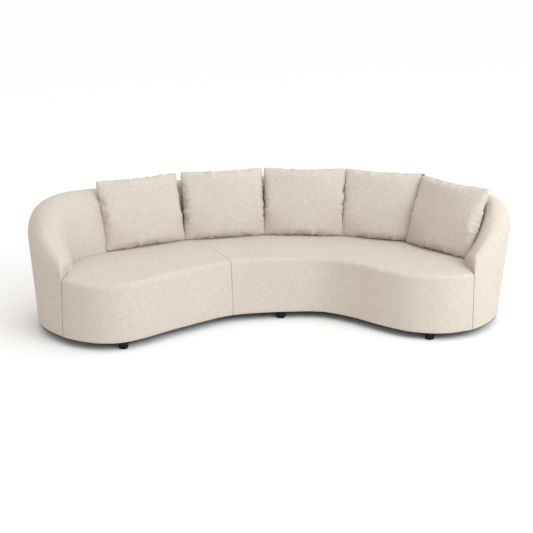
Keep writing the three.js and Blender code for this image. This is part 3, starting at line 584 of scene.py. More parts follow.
def sheetGrid(rows, pointOf, sectionOf):
    # the points of each row's section, in place
    cuts = rowCuts(rows)
    rings = []
    for i in range(len(rows)):
        section = sectionOf(cuts, i)
        base, way = pointOf(cuts, i)
        flat = base[None, :] + way[None, :] * section[:, :1]
        rings.append(np.concatenate([flat, section[:, 1:]], axis=1))
    return np.array(rings)


def smoothAlong(grid):
    # evens out the curve from row to row, ends kept
    for _ in range(sofaBody["smoothRounds"]):
        grid[1:-1] = 0.5 * grid[1:-1] + 0.25 * (grid[:-2] + grid[2:])
    return grid


# the covers of back and seat, each in a left and a right half that meet at the seam
upholstery = {
    "armCrease": 34.0, "innerEdgeTight": 2.0, "innerEdgeSoft": 9.0, "seatLip": 4.0, "edgeRise": 44.0,
    "crownStart": 78.0, "crownRise": 70.0, "crownColumns": (78.0, 20.0),
    "wallSeam": 8.0, "midSeam": 5.0, "seatSideSeam": 9.0, "seatCornerSeam": 2.0,
    "cornerColumns": (14.0, 16.0), "turnIn": 24.0, "turnWall": 2.0, "hemRoll": 5.0, "leastCloth": 1.2,
    "kneeColumns": (74, 108), "kneeRounds": 70, "levelReach": 110.0,
    "swellSize": 210.0, "swellHeight": 2.2,
    "swellSeeds": {"backLeft": 3.0, "backRight": 8.0, "seatLeft": 13.0, "seatRight": 17.0},
    "capShares": (0.12, 0.4, 0.7, 1.0), "capWall": 4.0, "rowsBehind": 3,
}
coverGrids = {"back": [], "seat": []}


def wallAt(cuts, i):
    return cuts["outer"][i], cuts["inward"][i]


def seatAt(cuts, i):
    return cuts["front"][i], cuts["backward"][i]


def wallCut(cuts, i):
    return wallSection(cuts["thickness"][i], cuts["rim"][i], sofaBody["hem"], sofaBody["innerHem"])


def seatCut(cuts, i):
    return seatSection(cuts["depth"][i], sofaBody["hem"])


def wallGrid(first, last):
    # the wall's section row by row, without an edge where its roll meets the leaning face
    grid = sheetGrid(rowsFor(first, last), wallAt, wallCut)
    low, high = upholstery["kneeColumns"]
    for _ in range(upholstery["kneeRounds"]):
        middle = grid[:, low:high]
        grid[:, low:high] = 0.5 * middle + 0.25 * (grid[:, low - 1:high - 1] + grid[:, low + 1:high + 1])
    return smoothAlong(grid)


def seatGrid(first, last):
    return smoothAlong(sheetGrid(rowsFor(first, last), seatAt, seatCut))


def softUnevenness(grid, normals, seed):
    # slow swells of the filling under the cloth
    spots = grid.reshape(-1, 3) / upholstery["swellSize"]
    values = np.array([noise.noise(Vector((p[0] + seed, p[1] - seed, p[2]))) for p in spots])
    return grid + normals * (values.reshape(grid.shape[:2]) * upholstery["swellHeight"])[..., None]


def softStep(share):
    return share * share * (3 - 2 * share)


def levelNormals(grid, normals, fromEnd):
    # near the sofa's ends the cloth moves only in the plane of its row, so that the end stays flat
    chord = grid[:, -1] - grid[:, 0]
    side = unit(np.stack([-chord[:, 1], chord[:, 0], np.zeros(len(chord))], axis=1))
    level = unit(np.cross(centredSteps(grid), side[:, None, :]))
    middle = len(grid) // 2
    if np.sum(level[middle] * normals[middle]) < 0:
        level = -level
    share = np.clip(1 - fromEnd / upholstery["levelReach"], 0, 1)
    return unit(blend(normals, level, softStep(share)[..., None]))


def wallEndRadius(grid):
    # the arm's end rolls down on top; its upright edges are tight at the seat and softer above it
    sizes = upholstery
    height = grid[..., 2]
    column = np.arange(grid.shape[1])
    top = height.max(axis=1, keepdims=True)
    above = np.clip((height - sofaBody["seatHeight"] - sizes["seatLip"]) / sizes["edgeRise"], 0.0, 1.0)
    crown = np.clip((height - (top - sizes["crownStart"])) / sizes["crownRise"], 0.0, 1.0)
    # the inner side of the roll is too tight for the large radius
    last, span = sizes["crownColumns"]
    crown = crown * np.clip((last - column) / span, 0.0, 1.0)
    upright = np.where(column < grid.shape[1] // 2, sizes["wallSeam"], sizes["innerEdgeTight"])
    upright = upright + (sizes["innerEdgeSoft"] - upright) * softStep(above)
    return upright + (sizes["armCrease"] - upright) * softStep(crown) * above


def seatEndRadius(grid):
    # the seat's side edge at the arms, tighter where it runs into the crease at the back
    last, span = upholstery["cornerColumns"]
    fromBack = np.clip((grid.shape[1] - last - np.arange(grid.shape[1])) / span, 0.0, 1.0)
    tight = upholstery["seatCornerSeam"]
    return np.zeros(grid.shape[:2]) + tight + (upholstery["seatSideSeam"] - tight) * fromBack


def midSeamRadius(grid):
    return np.full(grid.shape[:2], upholstery["midSeam"])


def addRows(grids, rows, own):
    # one more row on each grid, before its first or after its last
    pairs = ([row[None], grid] if own == 0 else [grid, row[None]] for grid, row in zip(grids, rows))
    return [np.concatenate(pair) for pair in pairs]


def inwardsAt(grid, own):
    # direction along the sofa from an end row towards the middle
    behind = upholstery["rowsBehind"] if own == 0 else -1 - upholstery["rowsBehind"]
    return unit(grid[behind] - grid[own])


def closedEnd(outside, inside, weave, own, wall):
    # closes the end of a wall by rows that draw together to its middle line
    edge, under, mark = outside[own].copy(), inside[own].copy(), weave[own].copy()
    middle = (edge + edge[::-1]) / 2
    inside[own] += wall
    for share in upholstery["capShares"]:
        rows = (blend(edge, middle, share), blend(under, middle, share) + wall, mark)
        outside, inside, weave = addRows((outside, inside, weave), rows, own)
    return outside, inside, weave


def coverPiece(part, side, grid, seams, outward):
    # a cover half: rounded into its seams and its hem, turned in behind them, with a cloth's thickness
    sizes = upholstery
    name = f"{part}Cover{side}"
    normals = gridNormals(grid, outward)
    along = runLengths(grid, 0)
    for radiusAt, fromEnd in zip(seams, (along, along[-1] - along)):
        if radiusAt is not midSeamRadius:
            normals = levelNormals(grid, normals, fromEnd)
    grid = softUnevenness(grid, normals, sizes["swellSeeds"][part + side])
    along = runLengths(grid, 0)
    across = runLengths(grid, 1)
    level = along.mean(axis=1, keepdims=True) + np.zeros_like(along)
    weave = np.stack([level - level[len(level) // 2], across], axis=-1)
    lower = rounding(across, sizes["hemRoll"])
    for radiusAt, fromEnd in zip(seams, (along, along[-1] - along)):
        lower = np.maximum(lower, rounding(fromEnd, radiusAt(grid)))
    outside = grid - normals * lower[..., None]
    coverGrids[part].append((outside.copy(), outward))
    thickness = np.maximum(sofaBody["clothThickness"], lower + sizes["leastCloth"])
    inside = grid - normals * thickness[..., None]
    for radiusAt, own in zip(seams, (0, -1)):
        inwards = inwardsAt(grid, own)
        if radiusAt is wallEndRadius:
            outside, inside, weave = closedEnd(outside, inside, weave, own, inwards * sizes["capWall"])
        else:
            # the cloth that is turned in behind a seam
            turned = outside[own] - normals[own] * sizes["turnIn"]
            mark = weave[own] + [sizes["turnIn"], 0]
            wall = inwards * sizes["turnWall"]
            inside[own] += wall
            outside, inside, weave = addRows((outside, inside, weave), (turned, turned + wall, mark), own)
    piece = shellMesh(name, outside, inside, weave)
    piece.data.materials.append(coverCloth)
    return piece


def faceOut(piece):
    # turns the faces of a closed mesh outwards if they point in
    shape = bmesh.new()
    shape.from_mesh(piece.data)
    if shape.calc_volume(signed=True) < 0:
        bmesh.ops.reverse_faces(shape, faces=shape.faces)
        shape.to_mesh(piece.data)
    shape.free()


def makeCovers():
    seam = sofaBody["seamRow"]
    for side, first, last in (("Left", 0.0, seam), ("Right", seam, float(lastRow))):
        cuts = rowCuts([(first + last) / 2])
        for part, endRadius, inward in (
            ("back", wallEndRadius, "inward"), ("seat", seatEndRadius, "backward"),
        ):
            grid = wallGrid(first, last) if part == "back" else seatGrid(first, last)
            seams = (endRadius, midSeamRadius) if side == "Left" else (midSeamRadius, endRadius)
            piece = coverPiece(part, side, grid, seams, np.append(-cuts[inward][0], 0.0))
            faceOut(piece)
            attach(piece, "sofa_body")
            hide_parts(f"{part}_cover_{side.lower()}")


makeCovers()
print("back and seat covers ready")

# foam and wadding under the covers
filling = {
    "underCover": 9.5, "wadding": 18.0, "backFoam": 60.0, "endTaper": 150.0, "endRows": 6,
    "low": 51.6, "seatFoamLow": 258.1, "skirt": 10.0, "rimColumns": (40, 64), "leastGap": 4.0,
}


def finishSoft(piece, material, node):
    piece.data.materials.append(material)
    faceOut(piece)
    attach(piece, "sofa_body")
    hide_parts(node)


def makeBackFoam():
    # thin wadding up the outer face, thick foam over the rim and down the inner face
    sizes = filling
    grid = wallGrid(0.0, float(lastRow))
    normals = gridNormals(grid, np.append(-rowCuts([lastRow / 2])["inward"][0], 0.0))
    along = runLengths(grid, 0)
    lower = np.zeros(grid.shape[:2])
    for distance in (along, along[-1] - along):
        normals = levelNormals(grid, normals, distance)
        lower = np.maximum(lower, rounding(distance, wallEndRadius(grid)))
    fromEnd = np.minimum(along, along[-1] - along).mean(axis=1)
    column = np.arange(grid.shape[1])
    thick = np.interp(column, sizes["rimColumns"], (sizes["wadding"], sizes["backFoam"]))[None, :]
    taper = np.clip(fromEnd / sizes["endTaper"], 0, 1)[:, None]
    outer = np.maximum(sizes["underCover"], lower + sizes["leastGap"])
    inner = np.maximum(outer + sizes["skirt"], blend(sizes["wadding"], thick, taper))
    kept = slice(sizes["endRows"], -sizes["endRows"])
    outside, inside = ((grid - normals * inset[..., None])[kept] for inset in (outer, inner))
    weave = np.zeros(outside.shape[:2] + (2,))
    for own in (0, -1):
        wall = inwardsAt(grid[kept], own) * sizes["skirt"]
        outside, inside, weave = closedEnd(outside, inside, weave, own, wall)
    finishSoft(shellMesh("backFoam", outside, inside, weave), cutFoam, "back_foam")


def foamCut(cuts, i):
    # section of the seat foam: a thick block on the webbing, with a thin skirt down the front
    body, sizes = sofaBody, filling
    under, low = sizes["underCover"], sizes["seatFoamLow"]
    skirt = under + sizes["skirt"]
    upper = seatSection(cuts["depth"][i], sizes["low"], (under, under), gap=under, tuck=0.0)
    upper = upper[:1 - body["seatColumns"][-1]]
    behind = skirt + frontSlope * (low - body["bodyBottom"])
    return np.concatenate([upper, [[upper[-1, 0], low], [behind, low], [skirt, sizes["low"]]]])


def makeSeatFoam():
    rows = rowsFor(0.0, float(lastRow))[filling["endRows"]:-filling["endRows"]]
    rings = smoothAlong(sheetGrid(rows, seatAt, foamCut))
    finishSoft(makeMesh("seatFoam", rings.reshape(-1, 3), ringFaces(rings)), cutFoam, "seat_foam")


makeBackFoam()
makeSeatFoam()
print("foam ready")

# turned feet: short black drums, wider at the top, with a rolled lower edge and a groove near the top
turnedFoot = {
    "topRadius": 32.0, "baseRadius": 29.0, "height": 50.0, "lowerRoll": 7.0, "upperRoll": 2.5,
    "groove": 1.2, "grooveHeight": 43.0, "grooveWidth": 1.6, "endFlat": 10.0,
    "rollSteps": 7, "sideSteps": 16, "sideInset": (3, 1), "segments": 48,
}


def makeFeet():
    sizes = turnedFoot
    tall, roll, cap = sizes["height"], sizes["lowerRoll"], sizes["upperRoll"]
    base, top = sizes["baseRadius"], sizes["topRadius"]
    sweep = np.linspace(0, math.pi / 2, sizes["rollSteps"])
    lowerRing = np.stack([base - roll + roll * np.sin(sweep), roll - roll * np.cos(sweep)], axis=1)
    below, above = sizes["sideInset"]
    height = np.linspace(roll + below, tall - cap - above, sizes["sideSteps"])
    width = blend(base, top, (height - roll) / (tall - roll - cap))
    width = width - sizes["groove"] * np.exp(-((height - sizes["grooveHeight"]) / sizes["grooveWidth"]) ** 2)
    side = np.stack([width, height], axis=1)
    upperRing = np.stack([top - cap + cap * np.cos(sweep), tall - cap + cap * np.sin(sweep)], axis=1)
    flat = sizes["endFlat"]
    profile = np.concatenate([[[flat, 0.0]], lowerRing, side, upperRing, [[flat, tall]]])
    angle = np.linspace(0, 2 * math.pi, sizes["segments"], endpoint=False)
    radius, level = profile[:, :1], profile[:, 1:]
    rings = np.stack([
        radius * np.cos(angle), radius * np.sin(angle), np.repeat(level, len(angle), axis=1),
    ], axis=-1)
    for number in range(1, 8):
        low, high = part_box(f"foot_{number}")
        centre = np.array([(low.x + high.x) / 2, (low.y + high.y) / 2, 0.0]) / mm
        foot = makeMesh(f"turnedFoot{number}", rings.reshape(-1, 3) + centre, ringFaces(rings))
        foot.data.materials.append(blackBeech)
        faceOut(foot)
        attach(foot, "sofa_body")
        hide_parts(f"foot_{number}")


makeFeet()
print("feet ready")

# loose cushions: two sheets sewn round their edges, blown up by their filling, then leaned and dented
looseCushions = {
    "width": 552.4, "height": 478.0, "thickness": 140.0, "sink": 4.0,
    "flatWidth": 566.0, "flatHeight": 492.0, "startThickness": 46.0, "startUneven": 2.0, "startSwell": 70.0,
    "cells": (92, 80), "seeds": (3.0, 21.0), "frames": 24, "overfill": 1.02,
    "coverThickness": 3.0, "seamWidth": 4.0, "padGap": 0.4, "rest": 0.5, "borderRest": 2.4,
    "pushReach": 95.0, "pushRounds": 3, "borderRounds": 6, "follow": 0.5,
    "shownWidth": 584.0, "drawIn": (12.0, 4.0, 14.0), "cornerRadius": 20.0, "edgeRounds": 10,
    "cloth": {
        "quality": 5, "mass": 0.25, "tension_stiffness": 15, "compression_stiffness": 15,
        "shear_stiffness": 5, "bending_stiffness": 0.5, "tension_damping": 8, "compression_damping": 8,
        "shear_damping": 8, "air_damping": 2, "use_pressure": True, "uniform_pressure_force": 3.0,
    },
    "places": [
        ((-0.546, 0.135), 27.9, 19.0, 1.00),
        ((-0.200, 0.405), 13.7, 15.0, 1.00),
        ((0.160, 0.472), -2.6, 15.0, 1.00),
        ((0.501, 0.349), -17.0, 15.0, 0.965),
        ((0.733, -0.066), -48.5, 18.0, 0.95),
    ],
}


def sewnSheets(width, height, thickness, cells):
    # two grids that share their border; returns the points, the faces and both grids of point numbers
    u, v = (np.linspace(-1, 1, n + 1) for n in cells)
    u, v = np.meshgrid(u, v, indexing="ij")
    crown = np.maximum((1 - u ** 2) * (1 - v ** 2), 0) ** 0.5
    points = np.stack([u * width / 2, v * height / 2, crown * thickness / 2], axis=-1).reshape(-1, 3)
    front = np.arange(len(points)).reshape(u.shape)
    back = front.copy()
    inner = front[1:-1, 1:-1]
    back[1:-1, 1:-1] = len(points) + np.arange(inner.size).reshape(inner.shape)
    points = np.concatenate([points, points[inner.ravel()] * [1, 1, -1]])
    quads = []
    for index in (front, back):
        corners = [index[:-1, :-1], index[1:, :-1], index[1:, 1:], index[:-1, 1:]]
        quads.append(np.stack(corners, axis=-1).reshape(-1, 4))
    return points, np.concatenate([quads[0], quads[1][:, ::-1]]), front, back


def inflate(points, faces, wanted, seed):
    # cloth under the pressure of its filling, stopped when it is as thick as the cushion
    sizes = looseCushions
    start = points.copy()
    spots = points[:, :2] / sizes["startSwell"]
    start[:, 2] += [sizes["startUneven"] * noise.noise(Vector((p[0] + seed, p[1], seed))) for p in spots]
    sheet = makeMesh("inflating", start, faces)
    cloth = sheet.modifiers.new("cloth", "CLOTH")
    for key, value in sizes["cloth"].items():
        setattr(cloth.settings, key, value)
    cloth.settings.effector_weights.gravity = 0
    cloth.collision_settings.use_collision = False
    cloth.point_cache.frame_start = 1
    cloth.point_cache.frame_end = sizes["frames"]
    for step in range(1, sizes["frames"] + 1):
        scene.frame_set(step)
        data = sheet.evaluated_get(bpy.context.evaluated_depsgraph_get()).data
        place = np.empty(len(data.vertices) * 3, np.float32)
        data.vertices.foreach_get("co", place)
        found = place.reshape(-1, 3).astype(float) / mm
        if np.ptp(found[:, 2]) > wanted:
            break
    print("inflated in", step, "steps to", np.ptp(found, axis=0).round(1))
    bpy.data.objects.remove(sheet)
    scene.frame_set(1)
    return found


def straighten(shape, front, back):
    # the sewn border runs nearly straight between round corners; every thread between follows it
    sizes = looseCushions
    half = np.array([sizes["shownWidth"], sizes["height"]]) / 2
    out = shape.copy()
    for axis, inset in ((0, (sizes["drawIn"][0],) * 2), (1, sizes["drawIn"][1:])):
        for sheet in (front, back):
            lines = sheet if axis == 0 else sheet.T
            other = np.linspace(-1, 1, lines.shape[1]) * half[1 - axis]
            fromCorner = half[1 - axis] - np.abs(other)
            angle = math.pi / 4 * np.clip(1 - fromCorner / sizes["cornerRadius"], 0, 1)
            corner = sizes["cornerRadius"] * (1 - np.cos(angle))
            curve = 1 - (other / half[1 - axis]) ** 2
            low = -half[axis] + inset[0] * curve + corner
            high = half[axis] - inset[1] * curve - corner
            found = shape[lines][..., axis]
            share = (found - found[0]) / (found[-1] - found[0])
            out[lines.ravel(), axis] = (low + (high - low) * share).ravel()
    # no puckers deeper than the weave along the seam
    for sheet in (front, back):
        height = out[sheet, 2]
        height[0], height[-1], height[:, 0], height[:, -1] = 0, 0, 0, 0
        for _ in range(sizes["edgeRounds"]):
            around = height[2:, 1:-1] + height[:-2, 1:-1] + height[1:-1, 2:] + height[1:-1, :-2]
            height[1:-1, 1:-1] = 0.5 * height[1:-1, 1:-1] + 0.125 * around
        out[sheet, 2] = height
    return out


def evenBorder(points, front, rounds):
    # takes kinks out of the sewn border
    loop = np.concatenate([front[:-1, 0], front[-1, :-1], front[:0:-1, -1], front[0, :0:-1]])
    for _ in range(rounds):
        line = points[loop]
        points[loop] = 0.5 * line + 0.25 * (np.roll(line, 1, axis=0) + np.roll(line, -1, axis=0))
    return points


def surfaceTree(points, faces):
    return BVHTree.FromPolygons((np.asarray(points) * mm).tolist(), [tuple(map(int, f)) for f in faces])


def pushOut(points, trees, gap):
    # moves each point that lies inside one of the surfaces to just outside it
    moved = np.zeros(len(points))
    placed = points * mm
    for number in range(len(placed)):
        for tree in trees:
            spot = Vector(placed[number])
            near, normal = tree.find_nearest(spot, looseCushions["pushReach"] * mm)[:2]
            if near is None:
                continue
            if (spot - near).dot(normal) < gap * mm:
                target = near + normal * gap * mm
                moved[number] += (target - spot).length / mm
                placed[number] = target
    return placed / mm, moved


def relax(points, neighbours, weight):
    # small even-out of the points that a push has moved
    average = np.zeros_like(points)
    count = np.zeros(len(points))
    for a, b in neighbours:
        np.add.at(average, a, points[b])
        np.add.at(count, a, 1.0)
    average /= np.maximum(count, 1)[:, None]
    return points + (average - points) * weight[:, None]


def cushionPoints(shape, index):
    sizes = looseCushions
    middle, turn, tilt, squeeze = sizes["places"][index]
    yaw, lean = math.radians(turn), math.radians(tilt)
    across = np.array([math.cos(yaw), math.sin(yaw), 0.0])
    up = np.array([-math.sin(yaw) * math.sin(lean), math.cos(yaw) * math.sin(lean), math.cos(lean)])
    out = np.cross(across, up)
    foot = np.array(planPlace(middle) + (0.0,))
    floor = 0.0
    for side in (-1, 1):
        corner = foot + across * side * sizes["width"] * squeeze / 2
        # the seat's height under this corner, looked for from a metre up
        for tree in seatTrees:
            hit = tree.ray_cast(Vector((corner[0] * mm, corner[1] * mm, 1.0)), Vector((0, 0, -1)))
            if hit[0] is not None:
                floor = max(floor, hit[0].z / mm)
    base = foot + [0, 0, floor - sizes["sink"]] + up * sizes["height"] / 2
    local = shape * [squeeze, 1, 1]
    return base + local[:, :1] * across + local[:, 1:2] * up + local[:, 2:] * out


def gridTree(grid, outward):
    faces = gridFaces(grid.shape[0], grid.shape[1])
    points = grid.reshape(-1, 3)
    tree = surfaceTree(points, faces)
    probe = np.array(points[5 + grid.shape[1] * (grid.shape[0] // 2)]) * mm
    normal = tree.find_nearest(Vector(probe))[1]
    if normal.dot(Vector(outward)) < 0:
        tree = surfaceTree(points, faces[:, ::-1])
    return tree


def nested(points, front, back, edge, cloth):
    # the same cushion, smaller by its seam all round and by its cloth on both faces
    a, b = points[front], points[back]
    middle, half = (a + b) / 2, (a - b) / 2
    centre = middle.reshape(-1, 3).mean(axis=0)
    spread = np.linalg.norm(middle[-1, 0] - middle[0, 0])
    middle = middle + (centre - middle) * (2 * edge / spread)
    thick = np.linalg.norm(half, axis=2, keepdims=True)
    half = half * thick / (thick + cloth + 1e-6)
    out = points.copy()
    out[front.ravel()] = (middle + half).reshape(-1, 3)
    inner = (slice(1, -1), slice(1, -1))
    out[back[inner].ravel()] = (middle - half)[inner].reshape(-1, 3)
    return out


def makeCushions():
    sizes = looseCushions
    width, height = sizes["flatWidth"], sizes["flatHeight"]
    flat, faces, front, back = sewnSheets(width, height, sizes["startThickness"], sizes["cells"])
    weave = np.concatenate([flat[:, :2]] * 2)
    shapes = []
    for seed in sizes["seeds"]:
        shape = inflate(flat, faces, sizes["thickness"] * sizes["overfill"], seed)
        span = np.ptp(shape, axis=0)
        shape = shape - (shape.max(axis=0) + shape.min(axis=0)) / 2
        shape *= [sizes["width"] / span[0], sizes["height"] / span[1], sizes["thickness"] / span[2]]
        shapes.append(straighten(shape, front, back))
    one, two = shapes
    turned = [one, two, one * [-1, 1, 1], two * [-1, 1, 1], one]
    near = []
    for sheet in (front, back):
        for lines in (sheet, sheet.T):
            low, high = lines[:-1].ravel(), lines[1:].ravel()
            near += [(high, low), (low, high)]
    done = []
    edge, cloth, gap = sizes["seamWidth"], sizes["coverThickness"], sizes["padGap"]
    for index in (4, 3, 2, 1, 0):
        number = index + 1
        points = cushionPoints(turned[index], index)
        shown = faces[:, ::-1] if index in (2, 3) else faces
        trees = wallTrees + seatTrees + done
        for _ in range(sizes["pushRounds"]):
            points, moved = pushOut(points, trees, sizes["rest"])
            points = relax(points, near, np.clip(moved, 0, 1) * sizes["follow"])
            points = evenBorder(points, front, sizes["borderRounds"])
        points = pushOut(points, trees, sizes["rest"])[0]
        points[front[:, 0]] = pushOut(points[front[:, 0]], seatTrees, sizes["borderRest"])[0]
        borders.append((number, points[front[:, :2]], points[back[:, :2]]))
        done.append(surfaceTree(points, shown))
        both = np.concatenate([points, nested(points, front, back, edge, cloth)])
        bothFaces = np.concatenate([shown, shown[:, ::-1] + len(points)])
        cover = makeMesh(f"cushionCover{number}", both, bothFaces, weave)
        filled = nested(points, front, back, edge + gap, cloth + gap)
        pad = makeMesh(f"cushionPad{number}", filled, shown, weave[:len(points)])
        for piece, node, slotName, material in (
            (cover, "cushion_cover", "woven_cover", coverCloth), (pad, "cushion_pad", "fibre", fibreCase),
        ):
            piece.data.materials.append(material)
            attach(piece, f"loose_cushion_{number}")
            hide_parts(f"{node}_{number}")


def fibreMaterial():
    # white non-woven case of the filling: matt and faintly felted
    material, tree = newMaterial("nonWovenFibreCase")
    local = addNode(tree, "ShaderNodeTexCoord")
    felt = addNode(tree, "ShaderNodeTexNoise", {}, {
        "Vector": local.outputs["Object"], "Scale": 240.0, "Detail": 3.0, "Roughness": 0.6,
    })
    bump = addNode(tree, "ShaderNodeBump", {}, {
        "Strength": 0.4, "Distance": 0.0008, "Height": felt.outputs["Fac"],
    })
    shader = addNode(tree, "ShaderNodeBsdfPrincipled", {}, {
        "Base Color": hexColour("#F1EEE8"), "Roughness": 0.9, "Specular IOR Level": 0.2,
        "Normal": bump.outputs[0],
    })
    finishMaterial(tree, shader)
    return material


fibreCase = fibreMaterial()
wallTrees = [gridTree(grid, outward) for grid, outward in coverGrids["back"]]
seatTrees = [gridTree(grid, outward) for grid, outward in coverGrids["seat"]]
borders = []
makeCushions()
print("cushions ready")


def wireShape(name, path, radius, side, corners=8):
    # a round wire along a path; side is a direction that the path never takes
    path, side = np.array(path, float), np.array(side, float)
    along = unit(np.gradient(path, axis=0))
    first = unit(side - along * (along @ side)[:, None])
    second = np.cross(along, first)
    angle = np.linspace(0, 2 * math.pi, corners, endpoint=False)[:, None]
    rings = path[:, None] + radius * (first[:, None] * np.cos(angle) + second[:, None] * np.sin(angle))
    return makeMesh(name, rings.reshape(-1, 3), ringFaces(rings))


def repeatAlong(name, paths, item, spacing, turn, seed, finish):
    # copies of a small shape along lines, spaced by geometry nodes and kept as a plain mesh
    points = np.concatenate([line for line, _ in paths])
    edges, start = [], 0
    for line, _ in paths:
        edges += [(start + i, start + i + 1) for i in range(len(line) - 1)]
        start += len(line)
    data = bpy.data.meshes.new(name)
    data.from_pydata((points * mm).tolist(), edges, [])
    data.attributes.new("up", "FLOAT_VECTOR", "POINT").data.foreach_set(
        "vector", np.concatenate([ups for _, ups in paths]).astype(np.float32).ravel())
    carrier = addObject(name, data)
    tree = bpy.data.node_groups.new(name, "GeometryNodeTree")
    values = {"Item": item, "Spacing": spacing * mm, "Turn": turn, "Seed": seed, "Finish": finish}
    kinds = ("Object", "Float", "Float", "Int", "Material")
    tree.interface.new_socket("Geometry", in_out="INPUT", socket_type="NodeSocketGeometry")
    sockets = {key: tree.interface.new_socket(key, in_out="INPUT", socket_type=f"NodeSocket{kind}")
               for key, kind in zip(values, kinds)}
    tree.interface.new_socket("Geometry", in_out="OUTPUT", socket_type="NodeSocketGeometry")
    given = addNode(tree, "NodeGroupInput").outputs
    curve = addNode(tree, "GeometryNodeMeshToCurve", {}, {"Mesh": given["Geometry"]})
    even = addNode(tree, "GeometryNodeResampleCurve", {"mode": "LENGTH"}, {
        "Curve": curve.outputs["Curve"], "Length": given["Spacing"],
    })
    up = addNode(tree, "GeometryNodeInputNamedAttribute", {"data_type": "FLOAT_VECTOR"}, {"Name": "up"})
    upright = addNode(tree, "FunctionNodeAlignRotationToVector", {"axis": "Z"}, {"Vector": up.outputs[0]})
    tangent = addNode(tree, "GeometryNodeInputTangent")
    turned = addNode(tree, "FunctionNodeAlignRotationToVector", {"axis": "X", "pivot_axis": "Z"}, {
        "Rotation": upright.outputs["Rotation"], "Vector": tangent.outputs["Tangent"],
    })
    back = addNode(tree, "ShaderNodeMath", {"operation": "MULTIPLY"}, {0: given["Turn"], 1: -1.0})
    chance = addNode(tree, "FunctionNodeRandomValue", {"data_type": "FLOAT"}, {
        2: back.outputs[0], 3: given["Turn"], "Seed": given["Seed"],
    })
    angles = addNode(tree, "ShaderNodeCombineXYZ", {}, {"Z": chance.outputs[1]})
    twist = addNode(tree, "FunctionNodeEulerToRotation", {}, {"Euler": angles.outputs[0]})
    placed = addNode(tree, "FunctionNodeRotateRotation", {"rotation_space": "LOCAL"}, {
        "Rotation": turned.outputs["Rotation"], "Rotate By": twist.outputs[0],
    })
    shape = addNode(tree, "GeometryNodeObjectInfo", {"transform_space": "ORIGINAL"}, {
        "Object": given["Item"],
    })
    copies = addNode(tree, "GeometryNodeInstanceOnPoints", {}, {
        "Points": even.outputs["Curve"], "Instance": shape.outputs["Geometry"],
        "Rotation": placed.outputs["Rotation"],
    })
    plain = addNode(tree, "GeometryNodeRealizeInstances", {}, {"Geometry": copies.outputs["Instances"]})
    coloured = addNode(tree, "GeometryNodeSetMaterial", {}, {
        "Geometry": plain.outputs["Geometry"], "Material": given["Finish"],
    })
    addNode(tree, "NodeGroupOutput", {}, {"Geometry": coloured.outputs["Geometry"]})
    repeat = carrier.modifiers.new("repeat", "NODES")
    repeat.node_group = tree
    for key, value in values.items():
        repeat[sockets[key].identifier] = value
    found = bpy.data.meshes.new_from_object(carrier.evaluated_get(bpy.context.evaluated_depsgraph_get()))
    bpy.data.objects.remove(carrier)
    bpy.data.objects.remove(item)
    return addObject(name, found)


# black cloth stapled under the sofa, a little slack between its folded edges
dustCloth = {
    "inset": 9.0, "top": 51.6, "fold": 16.0, "thickness": 0.3, "sag": 3.2, "wrinkle": 1.1,
    "endRow": 0.13, "foldEdge": 0.6, "firstColumn": 2.0, "evenHalf": 500.0, "columns": 26,
    "wrinkleSize": (90.0, 55.0), "wrinkleSeed": 4.0, "slackAcross": 200.0, "slackAlong": 90.0,
    "stapleSpacing": 44.0, "stapleTurn": 0.16, "stapleSeed": 7, "stapleLift": 0.35, "stapleShare": 0.45,
    "stapleWire": 0.42, "staplePath": [
        (-5.4, -1.1), (-5.4, -0.1), (-5.1, 0.3), (-4.6, 0.42),
        (4.6, 0.42), (5.1, 0.3), (5.4, -0.1), (5.4, -1.1),
    ],
}


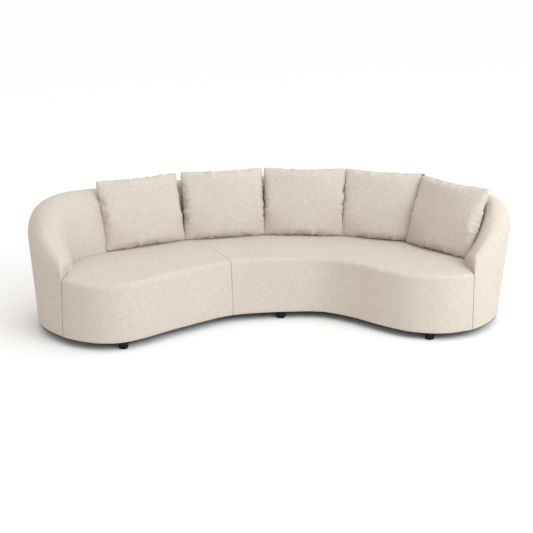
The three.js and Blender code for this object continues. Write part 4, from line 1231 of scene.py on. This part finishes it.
def makeDustCover():
    sizes = dustCloth
    inset, fold, half = sizes["inset"], sizes["fold"], sizes["evenHalf"]
    rows = rowsFor(sizes["endRow"], lastRow - sizes["endRow"])
    cuts = rowCuts(rows)
    reach = cuts["outer"] - cuts["front"]
    length = np.linalg.norm(reach, axis=1)
    # columns of a cloth of one width, drawn in or out to each row's own width between the folds
    edge = [0, sizes["foldEdge"], fold - sizes["foldEdge"], fold]
    across = np.concatenate([edge, np.linspace(fold + sizes["firstColumn"], half, sizes["columns"])])
    steps = np.concatenate([across, 2 * half - across[-2::-1]])
    near = np.minimum(steps, 2 * half - steps)
    lines = []
    for i in range(len(rows)):
        free = length[i] - 2 * inset
        distance = np.where(near <= fold, near, fold + (near - fold) * (free / 2 - fold) / (half - fold))
        place = np.where(steps <= half, distance, free - distance) + inset
        lines.append(cuts["front"][i] + reach[i] / length[i] * place[:, None])
    grid = np.array(lines)
    along = runLengths(grid, 0).mean(axis=1)
    fromEnd = np.minimum(along, along[-1] - along)[:, None]
    slack = np.clip((near - fold) / sizes["slackAcross"], 0, 1) * np.clip(fromEnd / sizes["slackAlong"], 0, 1)
    spots = grid.reshape(-1, 2) / sizes["wrinkleSize"]
    wrinkles = np.array([noise.noise(Vector((p[0], p[1], sizes["wrinkleSeed"]))) for p in spots])
    height = sizes["top"] - slack * (sizes["sag"] + sizes["wrinkle"] * wrinkles.reshape(slack.shape))
    # two layers where it is folded over
    layers = np.where(near < fold, 2.0, 1.0)
    top = np.dstack([grid, height])
    bottom = np.dstack([grid, height - layers * sizes["thickness"]])
    dust = shellMesh("dustCloth", bottom, top, np.zeros(grid.shape))
    dust.data.materials.append(spunCloth)
    faceOut(dust)
    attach(dust, "sofa_body")
    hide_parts("dust_cover")
    down = np.array([0.0, 0.0, -1.0])
    loops = []
    for outer, inner in ((1, 2), (-2, -3)):
        line = blend(bottom[:, outer], bottom[:, inner], sizes["stapleShare"]) + down * sizes["stapleLift"]
        loops.append((line, np.tile(down, (len(line), 1))))
    wire = [(x, 0.0, z) for x, z in sizes["staplePath"]]
    staple = wireShape("staple", wire, sizes["stapleWire"], (0, 1, 0))
    spacing, turn, seed = sizes["stapleSpacing"], sizes["stapleTurn"], sizes["stapleSeed"]
    staples = repeatAlong("dustStaples", loops, staple, spacing, turn, seed, zincSteel)
    faceOut(staples)
    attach(staples, "sofa_body")


makeDustCover()
print("dust cover ready")

# zip in each cushion's lower seam: woven tape and coil, closed
coilZip = {
    "length": 396.0, "steps": 120, "tapeShares": (0.95, 0.5), "tapeLift": 0.5, "tapeThickness": 0.5,
    "pitch": 1.35, "seed": 3, "wire": 0.4, "coil": [
        (-0.3, -2.5, 0.0), (-0.2, -1.6, 0.55), (0.0, -0.6, 0.85),
        (0.15, 0.6, 0.85), (0.3, 1.6, 0.55), (0.4, 2.5, 0.0),
    ],
}


def makeZip(number, frontEdge, backEdge):
    sizes = coilZip
    middle = frontEdge[:, 0]
    run = runLengths(middle[:, None], 0)[:, 0]
    wanted = run[-1] / 2 + np.linspace(-0.5, 0.5, sizes["steps"]) * sizes["length"]

    def at(line):
        return np.stack([np.interp(wanted, run, line[:, axis]) for axis in range(3)], axis=1)

    middle, one, two = at(middle), at(frontEdge[:, 1]), at(backEdge[:, 1])
    out = unit(middle * 2 - one - two)
    wide, narrow = sizes["tapeShares"]
    lines = ((one, wide), (one, narrow), (middle, 0.0), (two, narrow), (two, wide))
    strip = np.stack([blend(middle, side, share) for side, share in lines], axis=1)
    upper = strip + out[:, None] * sizes["tapeLift"]
    lower = upper + out[:, None] * sizes["tapeThickness"]
    tape = shellMesh("zipTape", lower, upper, np.zeros(strip.shape[:2] + (2,)))
    faceOut(tape)
    tooth = wireShape("tooth", sizes["coil"], sizes["wire"], (1, 0, 0))
    line = middle + out * (sizes["tapeLift"] + sizes["tapeThickness"])
    teeth = repeatAlong(f"teeth{number}", [(line, out)], tooth, sizes["pitch"], 0.0, sizes["seed"], dyedNylon)
    faceOut(teeth)
    whole = bmesh.new()
    for part in (tape, teeth):
        whole.from_mesh(part.data)
        bpy.data.objects.remove(part)
    data = bpy.data.meshes.new(f"cushionZip{number}")
    whole.to_mesh(data)
    whole.free()
    made = addObject(f"cushionZip{number}", data)
    data.materials.clear()
    data.materials.append(dyedNylon)
    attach(made, f"loose_cushion_{number}")
    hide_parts(f"cushion_zip_{number}")


for number, frontEdge, backEdge in borders:
    makeZip(number, frontEdge, backEdge)
print("zips ready")

print("done")
